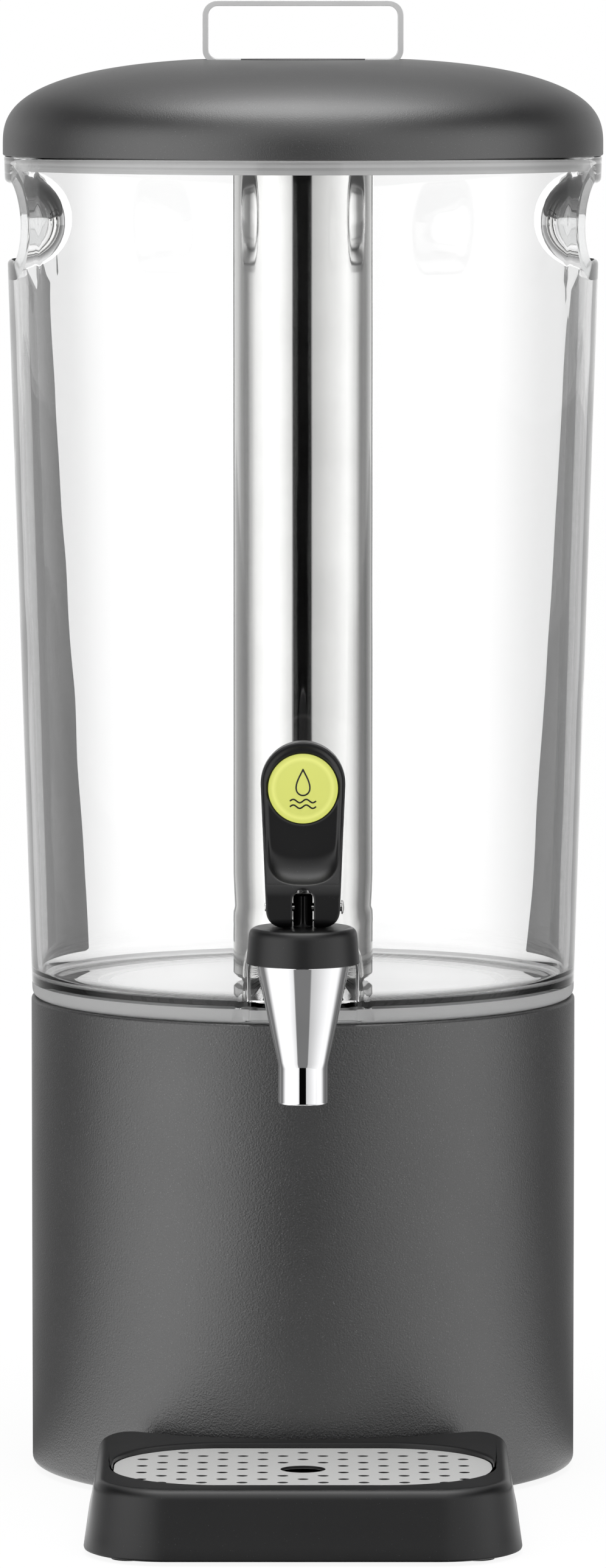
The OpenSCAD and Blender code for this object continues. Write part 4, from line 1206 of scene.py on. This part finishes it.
class DISPENSER_OT_stage(bpy.types.Operator):
    """Set up the floor, the studio light and the camera"""

    bl_idname = "dispenser.stage"
    bl_label = "Studio"

    def execute(self, context):
        scene = context.scene
        s = scene.dispenser_stage
        scene.view_settings.view_transform = "Standard"
        self.world(scene, s)
        self.floor()
        self.flats(s)
        self.lamp(s)
        self.camera(scene, s)
        return {"FINISHED"}

    def around(self, tree, across, ahead, stops):
        """A strength by direction, counted in degrees from the front, to be multiplied by MOST."""
        turn = maths(tree, "ARCTAN2", across, maths(tree, "MULTIPLY", ahead, -1.0))
        at = ranged(tree, turn, -math.pi, math.pi, 0.0, 1.0)
        return ramp(tree, at, [(0.5 + angle / 360, (value / MOST,) * 3) for angle, value in stops])

    def world(self, scene, s):
        """Studio walls by direction with soft light overhead, and a white backdrop for the camera."""
        world = bpy.data.worlds.new("studio")
        scene.world = world
        world.use_nodes = True
        tree = world.node_tree
        tree.nodes.clear()
        way = add(tree, "ShaderNodeTexCoord", {}).outputs["Generated"]
        across, ahead, up = split(tree, way)
        wall = self.around(tree, across, ahead, WALLS)
        height = maths(tree, "ARCSINE", up)
        lean = maths(tree, "MULTIPLY_ADD", ahead, WALL_LEAN, height)
        fade = ranged(tree, lean, *WALL_FADE, MOST * s.walls, 0.0)
        away = vectors(tree, "DISTANCE", vectors(tree, "MULTIPLY", way, ROOF_STRETCH), ROOF_MIDDLE)
        soft = ranged(tree, away, *ROOF_FADE, s.ceiling, 0.0)
        roof = maths(tree, "MULTIPLY", soft, ranged(tree, height, 0.0, ROOF_FULL, 0.0, 1.0))
        studio = glowing(tree, maths(tree, "MULTIPLY_ADD", wall, fade, roof), "ShaderNodeBackground")
        white = glowing(tree, s.backdrop, "ShaderNodeBackground")
        add(tree, "ShaderNodeOutputWorld", {"Surface": mixed(tree, self.straight(tree), studio, white)})

    def path(self, tree):
        """What is known of a ray."""
        return add(tree, "ShaderNodeLightPath", {}).outputs

    def straight(self, tree):
        """One where a ray comes from the camera straight or only through clear parts."""
        path = self.path(tree)
        plain = maths(tree, "LESS_THAN", path["Glossy Depth"], 0.5)
        clear = maths(tree, "MULTIPLY", path["Is Transmission Ray"], plain)
        return maths(tree, "MAXIMUM", path["Is Camera Ray"], clear)

    def floor(self):
        """White floor that keeps a soft shadow, and shows mirrors the studio's pattern."""
        bm = bmesh.new()
        bmesh.ops.create_grid(bm, x_segments=8, y_segments=8, size=0.5)
        placed(bm, Matrix.Translation(FLOOR_PLACE) @ Matrix.Diagonal((*FLOOR_SIZE, 1.0, 1.0)))
        mesh = mesh_of(bm, "studio_floor")
        tree = bare_material(mesh)
        plain = add(tree, "ShaderNodeBsdfDiffuse", {"Color": FLOOR_TINT}).outputs[0]
        much = maths(tree, "MULTIPLY", self.straight(tree), FLOOR_SHARE)
        shown = mixed(tree, much, plain, glowing(tree, FLOOR_GLOW))
        across, ahead, _ = split(tree, add(tree, "ShaderNodeTexCoord", {}).outputs["Object"])
        pattern = self.around(tree, across, ahead, FLOOR)
        mirrored = add(tree, "ShaderNodeEmission", {"Color": pattern, "Strength": MOST}).outputs[0]
        met = maths(tree, "GREATER_THAN", self.path(tree)["Glossy Depth"], 0.5)
        add(tree, "ShaderNodeOutputMaterial", {"Surface": mixed(tree, met, shown, mirrored)})
        floor = linked("studio_floor", mesh)

    def flats(self, s):
        """A white and two grey upright flats behind the object."""
        left = [(-0.143, 0.0), (-0.356, FLAT_HIGH)]
        right = [(0.157, 0.0), (0.460, FLAT_HIGH)]
        outer = [(FLAT_WIDE, FLAT_HIGH), (FLAT_WIDE, 0.0)]
        self.flat("backdrop_flat", s.backdrop, left + right[::-1])
        self.flat("grey_flats", s.flat, left + [(-x, z) for x, z in outer], right + outer)

    def flat(self, name, strength, *faces):
        """Glowing faces that only rays through clear parts meet, brighter for mirrored rays."""
        bm = bmesh.new()
        for points in faces:
            bm.faces.new([bm.verts.new((x, FLAT_BACK, z)) for x, z in points])
        mesh = mesh_of(bm, name)
        tree = bare_material(mesh)
        level = ranged(tree, self.path(tree)["Glossy Depth"], 0.4, 0.6, strength, FLAT_MIRRORED * strength)
        add(tree, "ShaderNodeOutputMaterial", {"Surface": glowing(tree, level)})
        flat = linked(name, mesh)
        flat.visible_camera = flat.visible_diffuse = flat.visible_glossy = flat.visible_shadow = False

    def lamp(self, s):
        """Soft lamp overhead."""
        data = bpy.data.lights.new("overhead", "AREA")
        data.shape, data.size, data.size_y, data.energy = "RECTANGLE", 1.2, 0.9, s.lamp
        lamp = linked("overhead", data)
        lamp.location = (0.0, -0.25, 1.65)
        lamp.rotation_euler = (math.radians(-8), 0.0, 0.0)

    def camera(self, scene, s):
        """Camera at the photograph's viewing angle."""
        data = bpy.data.cameras.new("camera")
        data.lens = s.lens
        camera = linked("camera", data)
        camera.location = s.camera
        way = Vector(s.target) - Vector(s.camera)
        camera.rotation_euler = way.to_track_quat("-Z", "Y").to_euler()
        scene.camera = camera


class DISPENSER_PT_panel(bpy.types.Panel):
    """Lists the dispenser's steps"""

    bl_idname = "DISPENSER_PT_panel"
    bl_label = "Juice Dispenser"
    bl_space_type = "VIEW_3D"
    bl_region_type = "UI"
    bl_category = "Dispenser"

    def draw(self, context):
        for step in STEPS:
            self.layout.operator(step.bl_idname)


STEPS = (
    DISPENSER_OT_materials, DISPENSER_OT_base, DISPENSER_OT_container, DISPENSER_OT_lid,
    DISPENSER_OT_tube, DISPENSER_OT_tap, DISPENSER_OT_tray, DISPENSER_OT_stage,
)
SETTINGS = {
    "dispenser_base": BaseSettings, "dispenser_container": ContainerSettings, "dispenser_lid": LidSettings,
    "dispenser_tap": TapSettings, "dispenser_tray": TraySettings, "dispenser_stage": StageSettings,
}


def register():
    for name, group in SETTINGS.items():
        bpy.utils.register_class(group)
        setattr(bpy.types.Scene, name, bpy.props.PointerProperty(type=group))
    for item in (*STEPS, DISPENSER_PT_panel):
        bpy.utils.register_class(item)


def unregister():
    for item in reversed((*STEPS, DISPENSER_PT_panel)):
        bpy.utils.unregister_class(item)
    for name, group in SETTINGS.items():
        delattr(bpy.types.Scene, name)
        bpy.utils.unregister_class(group)


def main():
    register()
    for step in STEPS:
        getattr(bpy.ops.dispenser, step.bl_idname.split(".")[1])()


if __name__ == "__main__":
    main()
